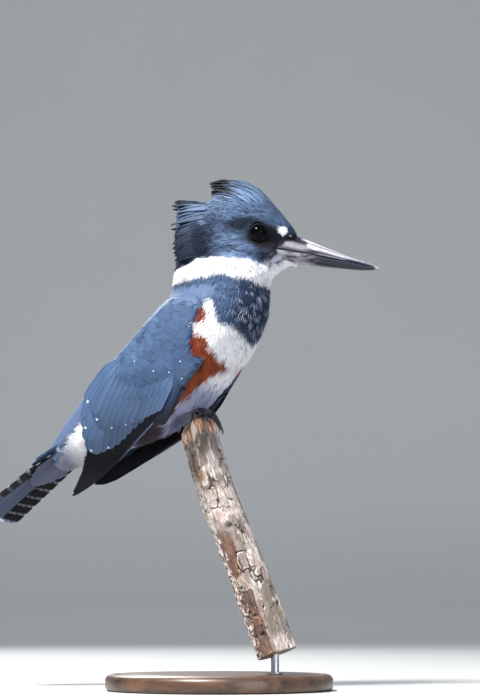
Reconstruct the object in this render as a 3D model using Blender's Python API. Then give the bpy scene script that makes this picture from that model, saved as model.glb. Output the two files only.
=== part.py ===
"""A female belted kingfisher, life size, gripping the broken end of a branch on a plain display stand.

The bird looks along +X, its left side is +Y and up is +Z. The origin is the centre of the
stand's underside. Sizes in the tables are millimetres and MM turns them into metres.
"""

import math

import bmesh
import bpy
import numpy as np
from mathutils import Matrix, Vector
from mathutils.noise import noise

MM = 0.001
GAP = 0.3  # clearance between two pieces that touch
FAR = 400.0  # longer than the whole model, for cutting planes

# Stand and perch
BASE_RADIUS, BASE_HEIGHT, BASE_BEVEL = 70.0, 10.0, 1.5
ROD_RADIUS, ROD_SOCKET = 2.5, 14.0
PERCH_TOP = Vector((-15.6, 0.0, 168.0))
PERCH_FOOT = Vector((37.6, 0.0, 22.5))
PERCH_RADIUS, PERCH_FOOT_RADIUS = 11.0, 12.3
PERCH_BOW = -2.6

# Pose
HEAD_YAW = 19.0  # the head is turned to the bird's left
NECK_PIVOT = Vector((1.3, 0.0, 257.5))
TAIL_ROLL = -9.5
TAIL_PITCH = 36.6  # below the horizon

# Trunk stations: x, z, pitch of the axis, half depth, half width
TRUNK = [
    (3.0, 266.5, 92, 22.0, 20.0),
    (1.6, 260.0, 90, 30.0, 25.5),
    (0.8, 249.0, 84, 32.0, 28.5),
    (-3.0, 236.0, 74, 32.5, 31.5),
    (-10.2, 222.5, 62, 32.5, 34.0),
    (-21.4, 209.5, 53, 32.2, 35.0),
    (-35.5, 195.0, 48, 31.6, 34.5),
    (-54.4, 180.0, 41, 28.5, 31.0),
    (-74.0, 167.5, 38, 22.0, 25.0),
    (-92.0, 155.0, 40, 15.5, 20.0),
    (-107.0, 143.5, 40, 9.0, 16.5),
]
TRUNK_RINGS, TRUNK_SIDES = 21, 22
BODY_POWER = 2.25

# Head stations in the head's own frame: distance in front of the neck pivot, top, bottom, half width
HEAD = [
    (-30.0, 299.5, 262.0, 6.0),
    (-26.0, 302.5, 256.0, 12.5),
    (-18.0, 304.0, 252.0, 18.0),
    (-10.0, 304.5, 249.0, 20.5),
    (-7.0, 312.0, 249.0, 20.8),
    (2.0, 314.6, 249.0, 21.0),
    (12.0, 313.2, 249.0, 20.3),
    (22.0, 309.4, 250.0, 18.0),
    (31.0, 303.2, 254.5, 13.8),
    (38.0, 295.4, 258.0, 10.0),
    (43.5, 288.2, 260.6, 7.6),
    (49.0, 280.2, 262.8, 5.6),
]
HEAD_RINGS, HEAD_SIDES = 21, 18

# Bill stations in the head's frame: distance in front of the pivot, height, half width
CULMEN = [(34.0, 285.4, 7.0), (50.0, 280.3, 6.6), (62.0, 276.2, 5.8), (76.0, 270.9, 4.4),
          (88.0, 266.2, 2.9), (98.6, 261.6, 0.7)]
EDGE = [(34.0, 272.6, 11.0), (50.0, 270.2, 7.9), (62.0, 268.2, 6.4), (76.0, 265.7, 4.7),
        (88.0, 263.2, 3.0), (98.6, 260.8, 0.8)]
KEEL = [(34.0, 264.9, 8.0), (50.0, 263.7, 6.2), (62.0, 262.2, 5.0), (76.0, 260.7, 3.8),
        (88.0, 259.8, 2.5), (97.6, 260.0, 0.7)]
BILL_RINGS = 12

EYE_RADIUS = 6.3
EYE_AT = Vector((22.6, 13.4, 281.6))

# Tail
TAIL_ROOT = Vector((-92.0, 0.0, 153.9))
TAIL_LENGTH = 82.0
TAIL_ROOT_HALF, TAIL_END_HALF = 13.0, 24.0
TAIL_THICK = 2.6

# Folded wing in side view, x and z, round the edge from the top of the shoulder
WING = [(-21, 241), (-9, 242), (1, 237), (-4, 227), (-6, 212), (-5, 204.5), (2, 201), (-9.5, 185),
        (-20, 169), (-25, 163), (-40, 160), (-62, 147), (-82, 130.5), (-94, 119.5), (-97, 123),
        (-88.5, 138), (-82, 147), (-80.5, 160), (-80, 174), (-74, 191), (-59, 205), (-43, 221.5)]
COVERT_LINE = [(-92, 196), (-66, 186), (-52, 178), (-36, 176), (-22, 180), (12, 192)]
FLIGHT_LINE = [(-92, 146), (-76, 144), (-64, 149.4), (-50, 156), (-39, 164.5), (-32, 173), (-26, 184)]
WING_THICK, TIP_THICK = 5.4, 2.2
CREASE_STEP = 14.0  # spacing of the lines that let a wing plate curve
# Half the distance between the wings' lower edges, at places along the body's axis
LOOSE_AT = (0, 25, 45, 60, 75, 100, 112, 138, 153)
LOOSE_HALF = (29, 33, 36.5, 35.5, 31, 20.5, 15.5, 10.5, 8)
# The left wing is folded a little further forward, its tip a little higher
LEFT_WING_SHIFT, LEFT_WING_LIFT = Vector((5.0, 0.0, 3.6)), 1.2


# ---------------------------------------------------------------- helpers
def spread(rows, count):
    """Rows of numbers read at `count` even steps along a smooth curve that never overshoots."""
    rows = np.array(rows, float)
    at = np.arange(len(rows), dtype=float)
    slope = np.zeros_like(rows)
    step = np.diff(rows, axis=0)
    for k in range(1, len(rows) - 1):
        before, after = step[k - 1], step[k]
        same = before * after > 0
        harmonic = 2 * before * after / np.where(same, before + after, 1)
        slope[k] = np.where(same, harmonic, 0)
    slope[0], slope[-1] = step[0], step[-1]
    out = []
    for t in np.linspace(0, at[-1], count):
        k = min(int(t), len(rows) - 2)
        u = t - k
        out.append(
            (2 * u**3 - 3 * u**2 + 1) * rows[k]
            + (u**3 - 2 * u**2 + u) * slope[k]
            + (3 * u**2 - 2 * u**3) * rows[k + 1]
            + (u**3 - u**2) * slope[k + 1]
        )
    return np.array(out)


def material(name, colour, roughness, metallic=0.0):
    found = bpy.data.materials.get(name)
    if found is None:
        found = bpy.data.materials.new(name)
        found.use_nodes = True
        surface = found.node_tree.nodes["Principled BSDF"]
        surface.inputs["Base Color"].default_value = (*colour, 1)
        surface.inputs["Roughness"].default_value = roughness
        surface.inputs["Metallic"].default_value = metallic
    return found


def finish(name, bm, look):
    """Turns a bmesh in millimetres into a named, smooth-shaded object in metres."""
    bmesh.ops.remove_doubles(bm, verts=bm.verts, dist=0.01)
    bmesh.ops.recalc_face_normals(bm, faces=bm.faces)
    bmesh.ops.triangulate(bm, faces=bm.faces)
    bmesh.ops.scale(bm, vec=(MM, MM, MM), verts=bm.verts)
    mesh = bpy.data.meshes.new(name)
    bm.to_mesh(mesh)
    bm.free()
    mesh.shade_smooth()
    mesh.set_sharp_from_angle(angle=math.radians(40))
    made = bpy.data.objects.new(name, mesh)
    bpy.context.scene.collection.objects.link(made)
    mesh.materials.append(look)
    return made


def mesh_of(obj):
    """A copy of an object's mesh as a bmesh in millimetres."""
    bm = bmesh.new()
    bm.from_mesh(obj.data)
    bmesh.ops.scale(bm, vec=(1 / MM,) * 3, verts=bm.verts)
    return bm


def discard(*objects):
    for obj in objects:
        bpy.data.objects.remove(obj)


def boolean(target, operation, *others):
    """Applies a Boolean of each other object to the target's mesh."""
    for other in others:
        step = target.modifiers.new("cut", "BOOLEAN")
        step.operation, step.solver, step.object = operation, "EXACT", other
        graph = bpy.context.evaluated_depsgraph_get()
        bm = bmesh.new()
        bm.from_mesh(target.evaluated_get(graph).to_mesh())
        target.modifiers.clear()
        bmesh.ops.dissolve_degenerate(bm, edges=bm.edges, dist=1e-6)
        bmesh.ops.triangulate(bm, faces=bm.faces)
        bm.to_mesh(target.data)
        bm.free()
    return target


def closed_rings(rings, first_pole, last_pole):
    """A bmesh from rings of points, each closed, with a pole at either end."""
    bm = bmesh.new()
    loops = [[bm.verts.new(p) for p in ring] for ring in rings]
    count = len(loops[0])
    for one, two in zip(loops, loops[1:]):
        for k in range(count):
            n = (k + 1) % count
            bm.faces.new((one[k], one[n], two[n], two[k]))
    for loop, pole in ((loops[0], first_pole), (loops[-1], last_pole)):
        tip = bm.verts.new(pole)
        for k in range(count):
            bm.faces.new((loop[k], loop[(k + 1) % count], tip))
    return bm


def oval(centre, up, side, high, wide, sides, power=2.0):
    """Points of a superellipse round a centre, starting at its top."""
    points = []
    for k in range(sides):
        c, s = math.cos(math.tau * k / sides), math.sin(math.tau * k / sides)
        c = math.copysign(abs(c) ** (2 / power), c)
        s = math.copysign(abs(s) ** (2 / power), s)
        points.append(centre + up * (high * c) + side * (wide * s))
    return points


def tube(path, radii, sides=8):
    """A bmesh tube along a path, round-ended, with a radius at each point."""
    path = [Vector(p) for p in path]
    rings = []
    for k, point in enumerate(path):
        along = (path[min(k + 1, len(path) - 1)] - path[max(k - 1, 0)]).normalized()
        side = along.cross(Vector((0, 1, 0))).normalized()
        rings.append(oval(point, side.cross(along), side, radii[k], radii[k], sides))
    start = path[0] + (path[0] - path[1]).normalized() * radii[0] * 0.6
    end = path[-1] + (path[-1] - path[-2]).normalized() * radii[-1] * 0.8
    return closed_rings(rings, start, end)


def make_block(point, normal):
    """A large cutting block whose face lies on a plane, on the side the plane's normal points to."""
    bm = bmesh.new()
    bmesh.ops.create_cube(bm, size=FAR)
    turn = Vector(normal).to_track_quat("Z", "X" if abs(normal.y) > 0.9 else "Y").to_matrix().to_4x4()
    bm.transform(Matrix.Translation(Vector(point)) @ turn @ Matrix.Translation((0, 0, FAR / 2)))
    return finish("block", bm, material("block", (1, 1, 1), 1))


def keep(obj, point, normal, gap=GAP / 2):
    """Cuts an object with a plane and keeps the side that the normal points away from."""
    normal = Vector(normal).normalized()
    block = make_block(Vector(point) - normal * gap, normal)
    boolean(obj, "DIFFERENCE", block)
    discard(block)
    return obj


def duplicate(obj, name):
    made = bpy.data.objects.new(name, obj.data.copy())
    bpy.context.scene.collection.objects.link(made)
    return made


def turn_head(obj):
    """Turns an object about the upright line through the neck, as the head is turned."""
    pivot = NECK_PIVOT * MM
    turn = Matrix.Translation(pivot) @ Matrix.Rotation(math.radians(HEAD_YAW), 4, "Z")
    obj.data.transform(turn @ Matrix.Translation(-pivot))
    return obj


def in_head(ahead, height, side=0.0):
    """A point of the head's own frame, before it is turned."""
    return Vector((NECK_PIVOT.x + ahead, side, height))


# ---------------------------------------------------------------- body
def trunk_rings(grow=0.0):
    rings = []
    for x, z, pitch, depth, width in spread(TRUNK, TRUNK_RINGS):
        along = Vector((-math.cos(math.radians(pitch)), 0, -math.sin(math.radians(pitch))))
        up = Vector((-math.sin(math.radians(pitch)), 0, math.cos(math.radians(pitch))))
        centre = Vector((x, 0, z))
        rings.append((along, oval(centre, up, Vector((0, 1, 0)), depth + grow, width + grow,
                                  TRUNK_SIDES, BODY_POWER), centre, depth))
    return rings


def make_trunk(name, look, grow=0.0):
    """The trunk and neck as one closed body."""
    rings = trunk_rings(grow)
    first, last = rings[0], rings[-1]
    return finish(name, closed_rings([r[1] for r in rings],
                                     first[2] - first[0] * (6 + grow),
                                     last[2] + last[0] * (5 + grow)), look)


def make_head(name, look, grow=0.0):
    rings = []
    for ahead, top, bottom, width in spread(HEAD, HEAD_RINGS):
        centre = in_head(ahead, (top + bottom) / 2)
        rings.append(oval(centre, Vector((0, 0, 1)), Vector((0, 1, 0)),
                          (top - bottom) / 2 + grow, width + grow, HEAD_SIDES, 2.15))
    back = in_head(HEAD[0][0] - 2.5 - grow, (HEAD[0][1] + HEAD[0][2]) / 2)
    front = in_head(HEAD[-1][0] + 2.0 + grow, (HEAD[-1][1] + HEAD[-1][2]) / 2)
    return finish(name, closed_rings(rings, back, front), look)


def make_mandible(name, look, top, bottom, grow=0.0):
    """Half a bill between two lines; the top line is a ridge on the upper half."""
    rings = []
    upper = name.startswith("bill_upper")
    for (a, high, wide), (b, low, edge) in zip(spread(top, BILL_RINGS), spread(bottom, BILL_RINGS)):
        ahead = (a + b) / 2
        if upper:
            ridge, foot, brim = high + grow, low + GAP / 2 - grow, edge
            shape = [(ridge, 0.0), (high * 0.8 + low * 0.2, wide * 0.42),
                     (high * 0.45 + low * 0.55, brim * 0.86),
                     (foot, brim)]
        else:
            ridge, foot, brim = high - GAP / 2 + grow, low - grow, wide
            shape = [(foot, 0.0), (low * 0.8 + high * 0.2, edge * 0.62),
                     (low * 0.4 + high * 0.6, brim * 0.9),
                     (ridge, brim)]
        half = [(z, y + (grow if y else 0)) for z, y in shape]
        loop = [in_head(ahead, z, y) for z, y in half]
        loop += [in_head(ahead, z, -y) for z, y in reversed(half[1:])]
        rings.append(loop)
    back = (rings[0][0] + rings[0][3]) / 2
    back.y = 0
    tip = (rings[-1][0] + rings[-1][3]) / 2
    tip.y = 0
    return finish(name, closed_rings(rings, back - Vector((0.5 + grow, 0, 0)),
                                     tip + Vector((0.8 + grow, 0, -0.2))), look)


def make_ball(name, look, centre, radius):
    bm = bmesh.new()
    bmesh.ops.create_uvsphere(bm, u_segments=12, v_segments=9, radius=radius)
    bmesh.ops.translate(bm, vec=centre, verts=bm.verts)
    return finish(name, bm, look)


# ---------------------------------------------------------------- wings
AXIS_TOP, AXIS_END = Vector((0.0, 0.0, 244.0)), Vector((-105.0, 0.0, 142.5))


def wing_side(x, z):
    """How far a folded wing's outer face stands from the middle plane, and how near the tip it is."""
    rows = spread(TRUNK, 60)
    gap = np.hypot(rows[:, 0] - x, rows[:, 1] - z)
    near = rows[int(np.argmin(gap))]
    pitch = math.radians(near[2])
    off = (x - near[0]) * -math.sin(pitch) + (z - near[1]) * math.cos(pitch)
    depth, width = near[3] + 4.5, near[4] + 3.2
    share = min(abs(off) / depth, 0.97)
    round_side = width * (1 - share**BODY_POWER) ** (1 / BODY_POWER)
    axis = (AXIS_END - AXIS_TOP).normalized()
    reach = (Vector((x, 0, z)) - AXIS_TOP).dot(axis)
    loose = float(np.interp(reach, LOOSE_AT, LOOSE_HALF)) if off < 0 else 9.0
    return max(round_side, loose), min(max((reach - 70) / 50, 0), 1)


def make_plate(name, look, outline):
    """A curved plate on the bird's left: an outline in side view, laid on the folded wing's face."""
    bm = bmesh.new()
    bm.faces.new([bm.verts.new((x, 0, z)) for x, z in outline])
    for normal in (Vector((1, 0, 0)), Vector((0, 0, 1)), Vector((1, 0, 1)).normalized()):
        reach = [v.co.dot(normal) for v in bm.verts]
        for offset in np.arange(min(reach) + CREASE_STEP / 2, max(reach), CREASE_STEP):
            bmesh.ops.bisect_plane(bm, geom=bm.verts[:] + bm.edges[:] + bm.faces[:], dist=1e-3,
                                   plane_co=normal * offset, plane_no=normal)
    bmesh.ops.triangulate(bm, faces=bm.faces)
    for v in bm.verts:
        v.co.y = wing_side(v.co.x, v.co.z)[0]
    inner = bmesh.ops.extrude_face_region(bm, geom=bm.faces[:])
    moved = [v for v in inner["geom"] if isinstance(v, bmesh.types.BMVert)]
    for v in moved:
        v.co.y -= WING_THICK + (TIP_THICK - WING_THICK) * wing_side(v.co.x, v.co.z)[1]
    return finish(name, bm, look)


def make_curtain(points):
    """A thin standing wall along a line in side view; cutting with it leaves the usual gap."""
    path = [Vector((x, 0, z)) for x, z in points]
    bm = bmesh.new()
    rims = []
    for k, point in enumerate(path):
        along = (path[min(k + 1, len(path) - 1)] - path[max(k - 1, 0)]).normalized()
        across = Vector((along.z, 0, -along.x)) * (GAP / 2)
        rims.append([bm.verts.new(point + across * s + Vector((0, y, 0)))
                     for s, y in ((1, -FAR), (1, FAR), (-1, FAR), (-1, -FAR))])
    for one, two in zip(rims, rims[1:]):
        for k in range(4):
            n = (k + 1) % 4
            bm.faces.new((one[k], one[n], two[n], two[k]))
    bm.faces.new(rims[0])
    bm.faces.new(rims[-1][::-1])
    return finish("curtain", bm, material("curtain", (1, 1, 1), 1))


def islands(obj):
    """The separate bodies of an object's mesh, highest first, each as an object."""
    bm = bmesh.new()
    bm.from_mesh(obj.data)
    left, groups = set(bm.verts), []
    while left:
        stack, group = [left.pop()], set()
        while stack:
            v = stack.pop()
            group.add(v)
            near = {e.other_vert(v) for e in v.link_edges} & left
            left -= near
            stack.extend(near)
        groups.append(group)
    groups.sort(key=lambda g: -sum(v.co.z for v in g) / len(g))
    made = []
    for k, group in enumerate(groups):
        keep_index = {v.index for v in group}
        one = bmesh.new()
        one.from_mesh(obj.data)
        one.verts.ensure_lookup_table()
        bmesh.ops.delete(one, geom=[v for v in one.verts if v.index not in keep_index], context="VERTS")
        mesh = bpy.data.meshes.new(f"{obj.name}_{k}")
        one.to_mesh(mesh)
        one.free()
        piece = bpy.data.objects.new(mesh.name, mesh)
        bpy.context.scene.collection.objects.link(piece)
        made.append(piece)
    bm.free()
    return made


def mirrored(obj, name):
    """The same piece on the bird's right."""
    made = duplicate(obj, name)
    made.data.transform(Matrix.Scale(-1, 4, (0, 1, 0)))
    made.data.flip_normals()
    return made


def make_wing(side, looks, slim):
    """A folded wing cut into coverts, secondaries and primaries."""
    whole = make_plate("wing", looks[0], WING)
    if side == "right":
        other = mirrored(whole, "wing_other")
        discard(whole)
        whole = other
    else:
        pivot = Vector((-25.0, 0.0, 180.0)) * MM
        lift = Matrix.Rotation(math.radians(LEFT_WING_LIFT), 4, "Y")
        shift = Matrix.Translation(LEFT_WING_SHIFT * MM + pivot)
        whole.data.transform(shift @ lift @ Matrix.Translation(-pivot))
    boolean(whole, "DIFFERENCE", slim)
    curtain = make_curtain(COVERT_LINE)
    boolean(whole, "DIFFERENCE", curtain)
    coverts, flight = islands(whole)[:2]
    discard(whole, curtain)
    curtain = make_curtain(FLIGHT_LINE)
    boolean(flight, "DIFFERENCE", curtain)
    secondaries, primaries = islands(flight)[:2]
    discard(flight, curtain)
    named = (("coverts", coverts), ("secondaries", secondaries), ("primaries", primaries))
    for (group, piece), look in zip(named, looks):
        piece.name = f"wing_{group}_{side}"
        piece.data.materials.clear()
        piece.data.materials.append(look)


# ---------------------------------------------------------------- legs
def perch_axes():
    up = (PERCH_TOP - PERCH_FOOT).normalized()
    front = Vector((up.z, 0, -up.x))
    return up, front


def on_perch(front_off, side_off, up_off):
    """A point beside the perch's broken end: ahead of, left of and above its middle."""
    up, front = perch_axes()
    return PERCH_TOP + front * front_off + Vector((0, side_off, 0)) + up * up_off


TOE_RADIUS, TOE_TIP = 1.7, 1.15
FOOT_UP = 4.6
FEET = {"left": 5.6, "right": -5.6}
# Each toe: its tip's place sideways as a share of the foot's, how far down it reaches, forward or back
TOES = {
    "inner_toe": (0.33, -9.0, 1),
    "middle_toe": (0.95, -12.0, 1),
    "outer_toe": (1.62, -9.5, 1),
    "hind_toe": (1.0, 2.2, -1),
}


def toe_path(side, toe):
    """Points from the foot over the perch's broken end and down its front."""
    out, reach, way = TOES[toe]
    foot = FEET[side]
    sign = math.copysign(1, foot)
    tip_side = foot * out
    start = (way * 1.8, foot + sign * (out - 1) * 1.6, FOOT_UP)
    if way < 0:
        return [on_perch(*p) for p in spread([start, (-4.6, foot, 4.0), (-7.2, foot, reach)], 5)]
    rim = math.sqrt((PERCH_RADIUS + 2.2) ** 2 - tip_side**2)
    over = (rim * 0.52, (foot + tip_side) / 2, 4.0)
    edge = (rim * 0.86, tip_side * 0.9, -1.0)
    end = (rim, tip_side, reach)
    return [on_perch(*p) for p in spread([start, over, edge, end], 7)]


def make_toe(name, look, path):
    radii = np.linspace(TOE_RADIUS, TOE_TIP, len(path))
    return finish(name, tube(path, radii, 6), look)


def make_claw(name, look, path, way):
    """A short hooked claw past a toe's tip, curling towards the perch."""
    up, front = perch_axes()
    along = (path[-1] - path[-2]).normalized()
    start = path[-1] + along * (TOE_TIP * 0.8 + GAP + 0.75)
    hook = -front * way
    long = 4.2 if way > 0 else 2.6
    points = [start + along * (long * t) + hook * (1.0 * t * t) for t in np.linspace(0, 1, 4)]
    return finish(name, tube(points, np.linspace(0.9, 0.35, 4), 6), look)


# ---------------------------------------------------------------- tail, perch and stand
def make_tail(name, look, first, last):
    """Part of the closed tail's width, from -1 at the right edge to 1 at the left, arched across."""
    rings = []
    across = np.linspace(first, last, 5)
    middle = (first + last) / 2
    for t in np.linspace(0, 1, 8):
        half = TAIL_ROOT_HALF + (TAIL_END_HALF - TAIL_ROOT_HALF) * t
        thick = TAIL_THICK * (1 - 0.45 * t)
        loop = []
        for side, row in ((1, across), (-1, across[::-1])):
            for v in row:
                inset = GAP / 2 if abs(v) < 0.9 and v in (first, last) else 0
                y = half * v + math.copysign(inset, middle - v)
                arch = 2.2 * (1 - v * v) + side * thick / 2 * (1 - 0.55 * abs(v))
                loop.append(Vector((-TAIL_LENGTH * (t - 0.06 * abs(v) ** 3 * t), y, arch)))
        rings.append(loop)
    root = (rings[0][2] + rings[0][7]) / 2 + Vector((0.5, 0, 0))
    end = (rings[-1][2] + rings[-1][7]) / 2 - Vector((0.9, 0, 0))
    made = finish(name, closed_rings(rings, root, end), look)
    roll = Matrix.Rotation(math.radians(TAIL_ROLL), 4, "X")
    pitch = Matrix.Rotation(math.radians(-TAIL_PITCH), 4, "Y")
    made.data.transform(Matrix.Translation(TAIL_ROOT * MM) @ pitch @ roll)
    return made


def make_perch(look, grow=0.0):
    """A dead branch, slightly bent and uneven, its top broken off and its foot sawn square."""
    up, front = perch_axes()
    length = (PERCH_TOP - PERCH_FOOT).length
    sides, rings = 16, []
    stations = [(t, 1.0) for t in np.linspace(0, 0.94, 15)] + [(0.975, 0.86), (1.0, 0.55)]
    for t, share in stations:
        centre = PERCH_FOOT + up * (length * t) + front * (PERCH_BOW * math.sin(math.pi * t * t))
        radius = (PERCH_FOOT_RADIUS + (PERCH_RADIUS - PERCH_FOOT_RADIUS) * t) * share + grow
        knot = 1.4 * math.exp(-(((t - 0.56) / 0.05) ** 2))
        loop = []
        for s in range(sides):
            angle = math.tau * s / sides
            way = front * math.cos(angle) + Vector((0, math.sin(angle), 0))
            rough = 0.8 * share * noise(Vector((math.cos(angle) * 1.3, math.sin(angle) * 1.3, t * 9)))
            bump = knot * max(math.cos(angle + 1.9), 0)
            loop.append(centre + way * (radius + rough + bump))
        rings.append(loop)
    return finish("perch", closed_rings(rings, PERCH_FOOT - up * grow, PERCH_TOP + up * (1.2 + grow)), look)


def make_rod(name, look, grow=0.0):
    """The upright rod: from the base's top into a socket in the perch's sawn foot."""
    bm = bmesh.new()
    low = BASE_HEIGHT + GAP - grow
    high = PERCH_FOOT.z + ROD_SOCKET + grow
    bmesh.ops.create_cone(bm, cap_ends=True, segments=18, radius1=ROD_RADIUS + grow,
                          radius2=ROD_RADIUS + grow, depth=high - low)
    bmesh.ops.translate(bm, vec=(PERCH_FOOT.x - 1.5, 0, (low + high) / 2), verts=bm.verts)
    return finish(name, bm, look)


def make_base(look):
    bm = bmesh.new()
    bmesh.ops.create_cone(bm, cap_ends=True, segments=56, radius1=BASE_RADIUS, radius2=BASE_RADIUS,
                          depth=BASE_HEIGHT)
    bmesh.ops.translate(bm, vec=(0, 0, BASE_HEIGHT / 2), verts=bm.verts)
    rim = [e for e in bm.edges if all(abs(v.co.z - BASE_HEIGHT) < 0.01 for v in e.verts)]
    bmesh.ops.bevel(bm, geom=rim, offset=BASE_BEVEL, segments=2, profile=0.5, affect="EDGES")
    return finish("stand_base", bm, look)


# ---------------------------------------------------------------- assembly
def build():
    for obj in list(bpy.data.objects):
        bpy.data.objects.remove(obj)

    slate = material("slate_feather", (0.16, 0.24, 0.36), 0.6)
    white = material("white_feather", (0.85, 0.84, 0.85), 0.7)
    rufous = material("rufous_feather", (0.36, 0.11, 0.04), 0.7)
    black = material("black_feather", (0.02, 0.022, 0.03), 0.5)
    horn = material("bill_horn", (0.10, 0.10, 0.13), 0.3)
    dark_eye = material("eye", (0.01, 0.008, 0.006), 0.05)
    leg = material("leg_scale", (0.07, 0.06, 0.065), 0.5)
    claw = material("claw_horn", (0.02, 0.02, 0.02), 0.3)
    bark = material("bark", (0.34, 0.29, 0.26), 0.85)
    steel = material("steel_rod", (0.55, 0.55, 0.56), 0.3, 1.0)
    wood = material("base_wood", (0.13, 0.07, 0.04), 0.4)

    # Head, bill and eyes, made looking straight ahead and then turned
    head = make_head("head", slate)
    bill = [make_mandible("bill_upper", horn, CULMEN, EDGE),
            make_mandible("bill_lower", horn, EDGE, KEEL)]
    moulds = [make_mandible("bill_upper_mould", horn, CULMEN, EDGE, GAP),
              make_mandible("bill_lower_mould", horn, EDGE, KEEL, GAP)]
    eyes = []
    for side, sign in (("left", 1), ("right", -1)):
        centre = in_head(EYE_AT.x, EYE_AT.z, sign * EYE_AT.y)
        eyes.append(make_ball(f"eye_{side}", dark_eye, centre, EYE_RADIUS))
        moulds.append(make_ball(f"eye_{side}_mould", dark_eye, centre, EYE_RADIUS + GAP))
    boolean(head, "DIFFERENCE", *moulds)
    discard(*moulds)
    for piece in [head, *bill, *eyes]:
        turn_head(piece)

    # Trunk and head are one body, parted by thin cuts
    body = make_trunk("body", slate)
    whole = boolean(body, "UNION", head)
    discard(head)
    head_cut = (Vector((0, 0, 264.0)), Vector((0.06, 0, 1)))
    neck_cut = (Vector((-2, 0, 248.0)), Vector((-0.1, 0, 1)))
    crest_cut = (Vector((0, 0, 300.5)), Vector((-0.06, 0, 1)))

    def part(name, look, *planes, source=whole):
        made = duplicate(source, name)
        for point, normal in planes:
            keep(made, point, normal)
        made.data.materials.clear()
        made.data.materials.append(look)
        return made

    def back_of(plane):
        return plane[0], -plane[1]

    part("crest", slate, back_of(crest_cut))
    part("head_whole", slate, crest_cut, back_of(head_cut))
    part("neck", white, head_cut, back_of(neck_cut))
    bpy.data.objects["head_whole"].name = "head"

    # The trunk behind the neck: back above a line along the axis, then breast, belly and rump
    axis = (AXIS_END - AXIS_TOP).normalized()
    upward = Vector((axis.z, 0, -axis.x))
    if upward.z < 0:
        upward = -upward
    ridge = (AXIS_TOP + upward * 8, -upward)
    chest_end = (Vector((-24.0, 0, 205.0)), axis)
    rump_start = (Vector((-66.0, 0, 171.0)), axis)
    part("back", slate, neck_cut, ridge, rump_start)
    part("breast", slate, neck_cut, back_of(ridge), chest_end)
    belly = part("belly", white, back_of(ridge), back_of(chest_end), rump_start)
    rump = part("rump", slate, back_of(rump_start))
    discard(whole)

    # The belly's feathers close round the end of the perch and leave room for the feet
    up, front = perch_axes()
    perch = make_perch(bark)
    mould = make_perch(bark, GAP)
    boolean(belly, "DIFFERENCE", mould)
    discard(mould)
    room = make_ball("room", leg, Vector((0, 0, 0)), 1.0)
    frame = Matrix((front, Vector((0, 1, 0)), up)).transposed().to_4x4()
    size = Matrix.Diagonal((12.8, 12.8, 6.6, 1))
    room.data.transform(Matrix.Translation(on_perch(-2.6, 0, 2.6) * MM) @ frame @ size)
    boolean(belly, "DIFFERENCE", room)
    discard(room)

    # Legs: a shank from the belly to the foot, three toes forward and one back
    for side, y in FEET.items():
        shin = [on_perch(-0.3, y, FOOT_UP + 3.6), on_perch(-2, y, FOOT_UP + 8),
                on_perch(-4, y * 1.1, FOOT_UP + 13)]
        finish(f"shank_{side}", tube(shin, [2.2, 1.9, 2.3]), leg)
        mould = finish("mould", tube(shin, [2.5, 2.2, 2.6]), leg)
        boolean(belly, "DIFFERENCE", mould)
        discard(mould)
        foot = make_ball(f"foot_{side}", leg, on_perch(0.0, y, FOOT_UP), 2.3)
        for toe in TOES:
            path = toe_path(side, toe)
            made = make_toe("toe", leg, path)
            boolean(foot, "UNION", made)
            discard(made)
            make_claw(f"{toe}_claw_{side}", claw, path, TOES[toe][2])

    # Wings, over the trunk
    slim = make_trunk("slim", slate, GAP)
    for side in FEET:
        make_wing(side, (slate, slate, black), slim)
    discard(slim)

    # Tail, in three bundles of feathers
    slim = make_trunk("slim", slate, GAP)
    for name, look, first, last in (("tail_right", black, -1, -0.36), ("tail_middle", slate, -0.36, 0.36),
                                    ("tail_left", black, 0.36, 1)):
        boolean(make_tail(name, look, first, last), "DIFFERENCE", slim)
    discard(slim)

    # Stand
    rod = make_rod("stand_rod", steel)
    mould = make_rod("rod_mould", steel, GAP)
    boolean(perch, "DIFFERENCE", mould)
    discard(mould)
    make_base(wood)
    return rod


build()
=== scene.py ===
# %% [markdown]
# # A belted kingfisher on the broken tip of a branch
# This lesson dresses a plain carved figure of a bird with skin, feathers, horn and bark.
# The carved figure comes in first as the frame. It gives every piece its place and size,
# and the pieces made below stand in for its parts one by one. The tables of the bird, the
# branch and the stand are in millimetres, and those of the studio round them are in metres.
# The bird looks along +X, its left side is +Y, and the head is turned a little to its left.

import math

import bmesh
import bpy
import numpy as np
from mathutils import Matrix, Vector
from mathutils.bvhtree import BVHTree


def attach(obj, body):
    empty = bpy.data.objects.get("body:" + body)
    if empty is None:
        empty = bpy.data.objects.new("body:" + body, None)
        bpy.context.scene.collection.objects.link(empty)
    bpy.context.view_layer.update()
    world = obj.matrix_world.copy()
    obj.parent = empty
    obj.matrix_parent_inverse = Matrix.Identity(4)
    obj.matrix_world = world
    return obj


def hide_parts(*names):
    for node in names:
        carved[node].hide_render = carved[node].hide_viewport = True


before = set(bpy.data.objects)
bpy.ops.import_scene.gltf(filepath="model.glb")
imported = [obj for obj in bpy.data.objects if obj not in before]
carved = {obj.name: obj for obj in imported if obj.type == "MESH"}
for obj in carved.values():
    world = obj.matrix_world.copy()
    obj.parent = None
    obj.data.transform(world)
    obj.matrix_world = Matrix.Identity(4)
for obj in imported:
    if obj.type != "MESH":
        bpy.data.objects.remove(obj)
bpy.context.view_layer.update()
MM = 0.001
SIDES = {"left": 1, "right": -1}
print("carved parts:", len(carved))

# %% [markdown]
# ## Small tools
# A few tools are used all through. `soft` is a smooth step up, which gives a marking a soft
# edge, and `fade` is the same step down. `grain` is a smooth random field in space, which
# varies a colour or a surface without any picture. `spread` reads a short table as a smooth
# curve, so a few sizes make a shape, and `unit` gives a direction the length of one.


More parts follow.
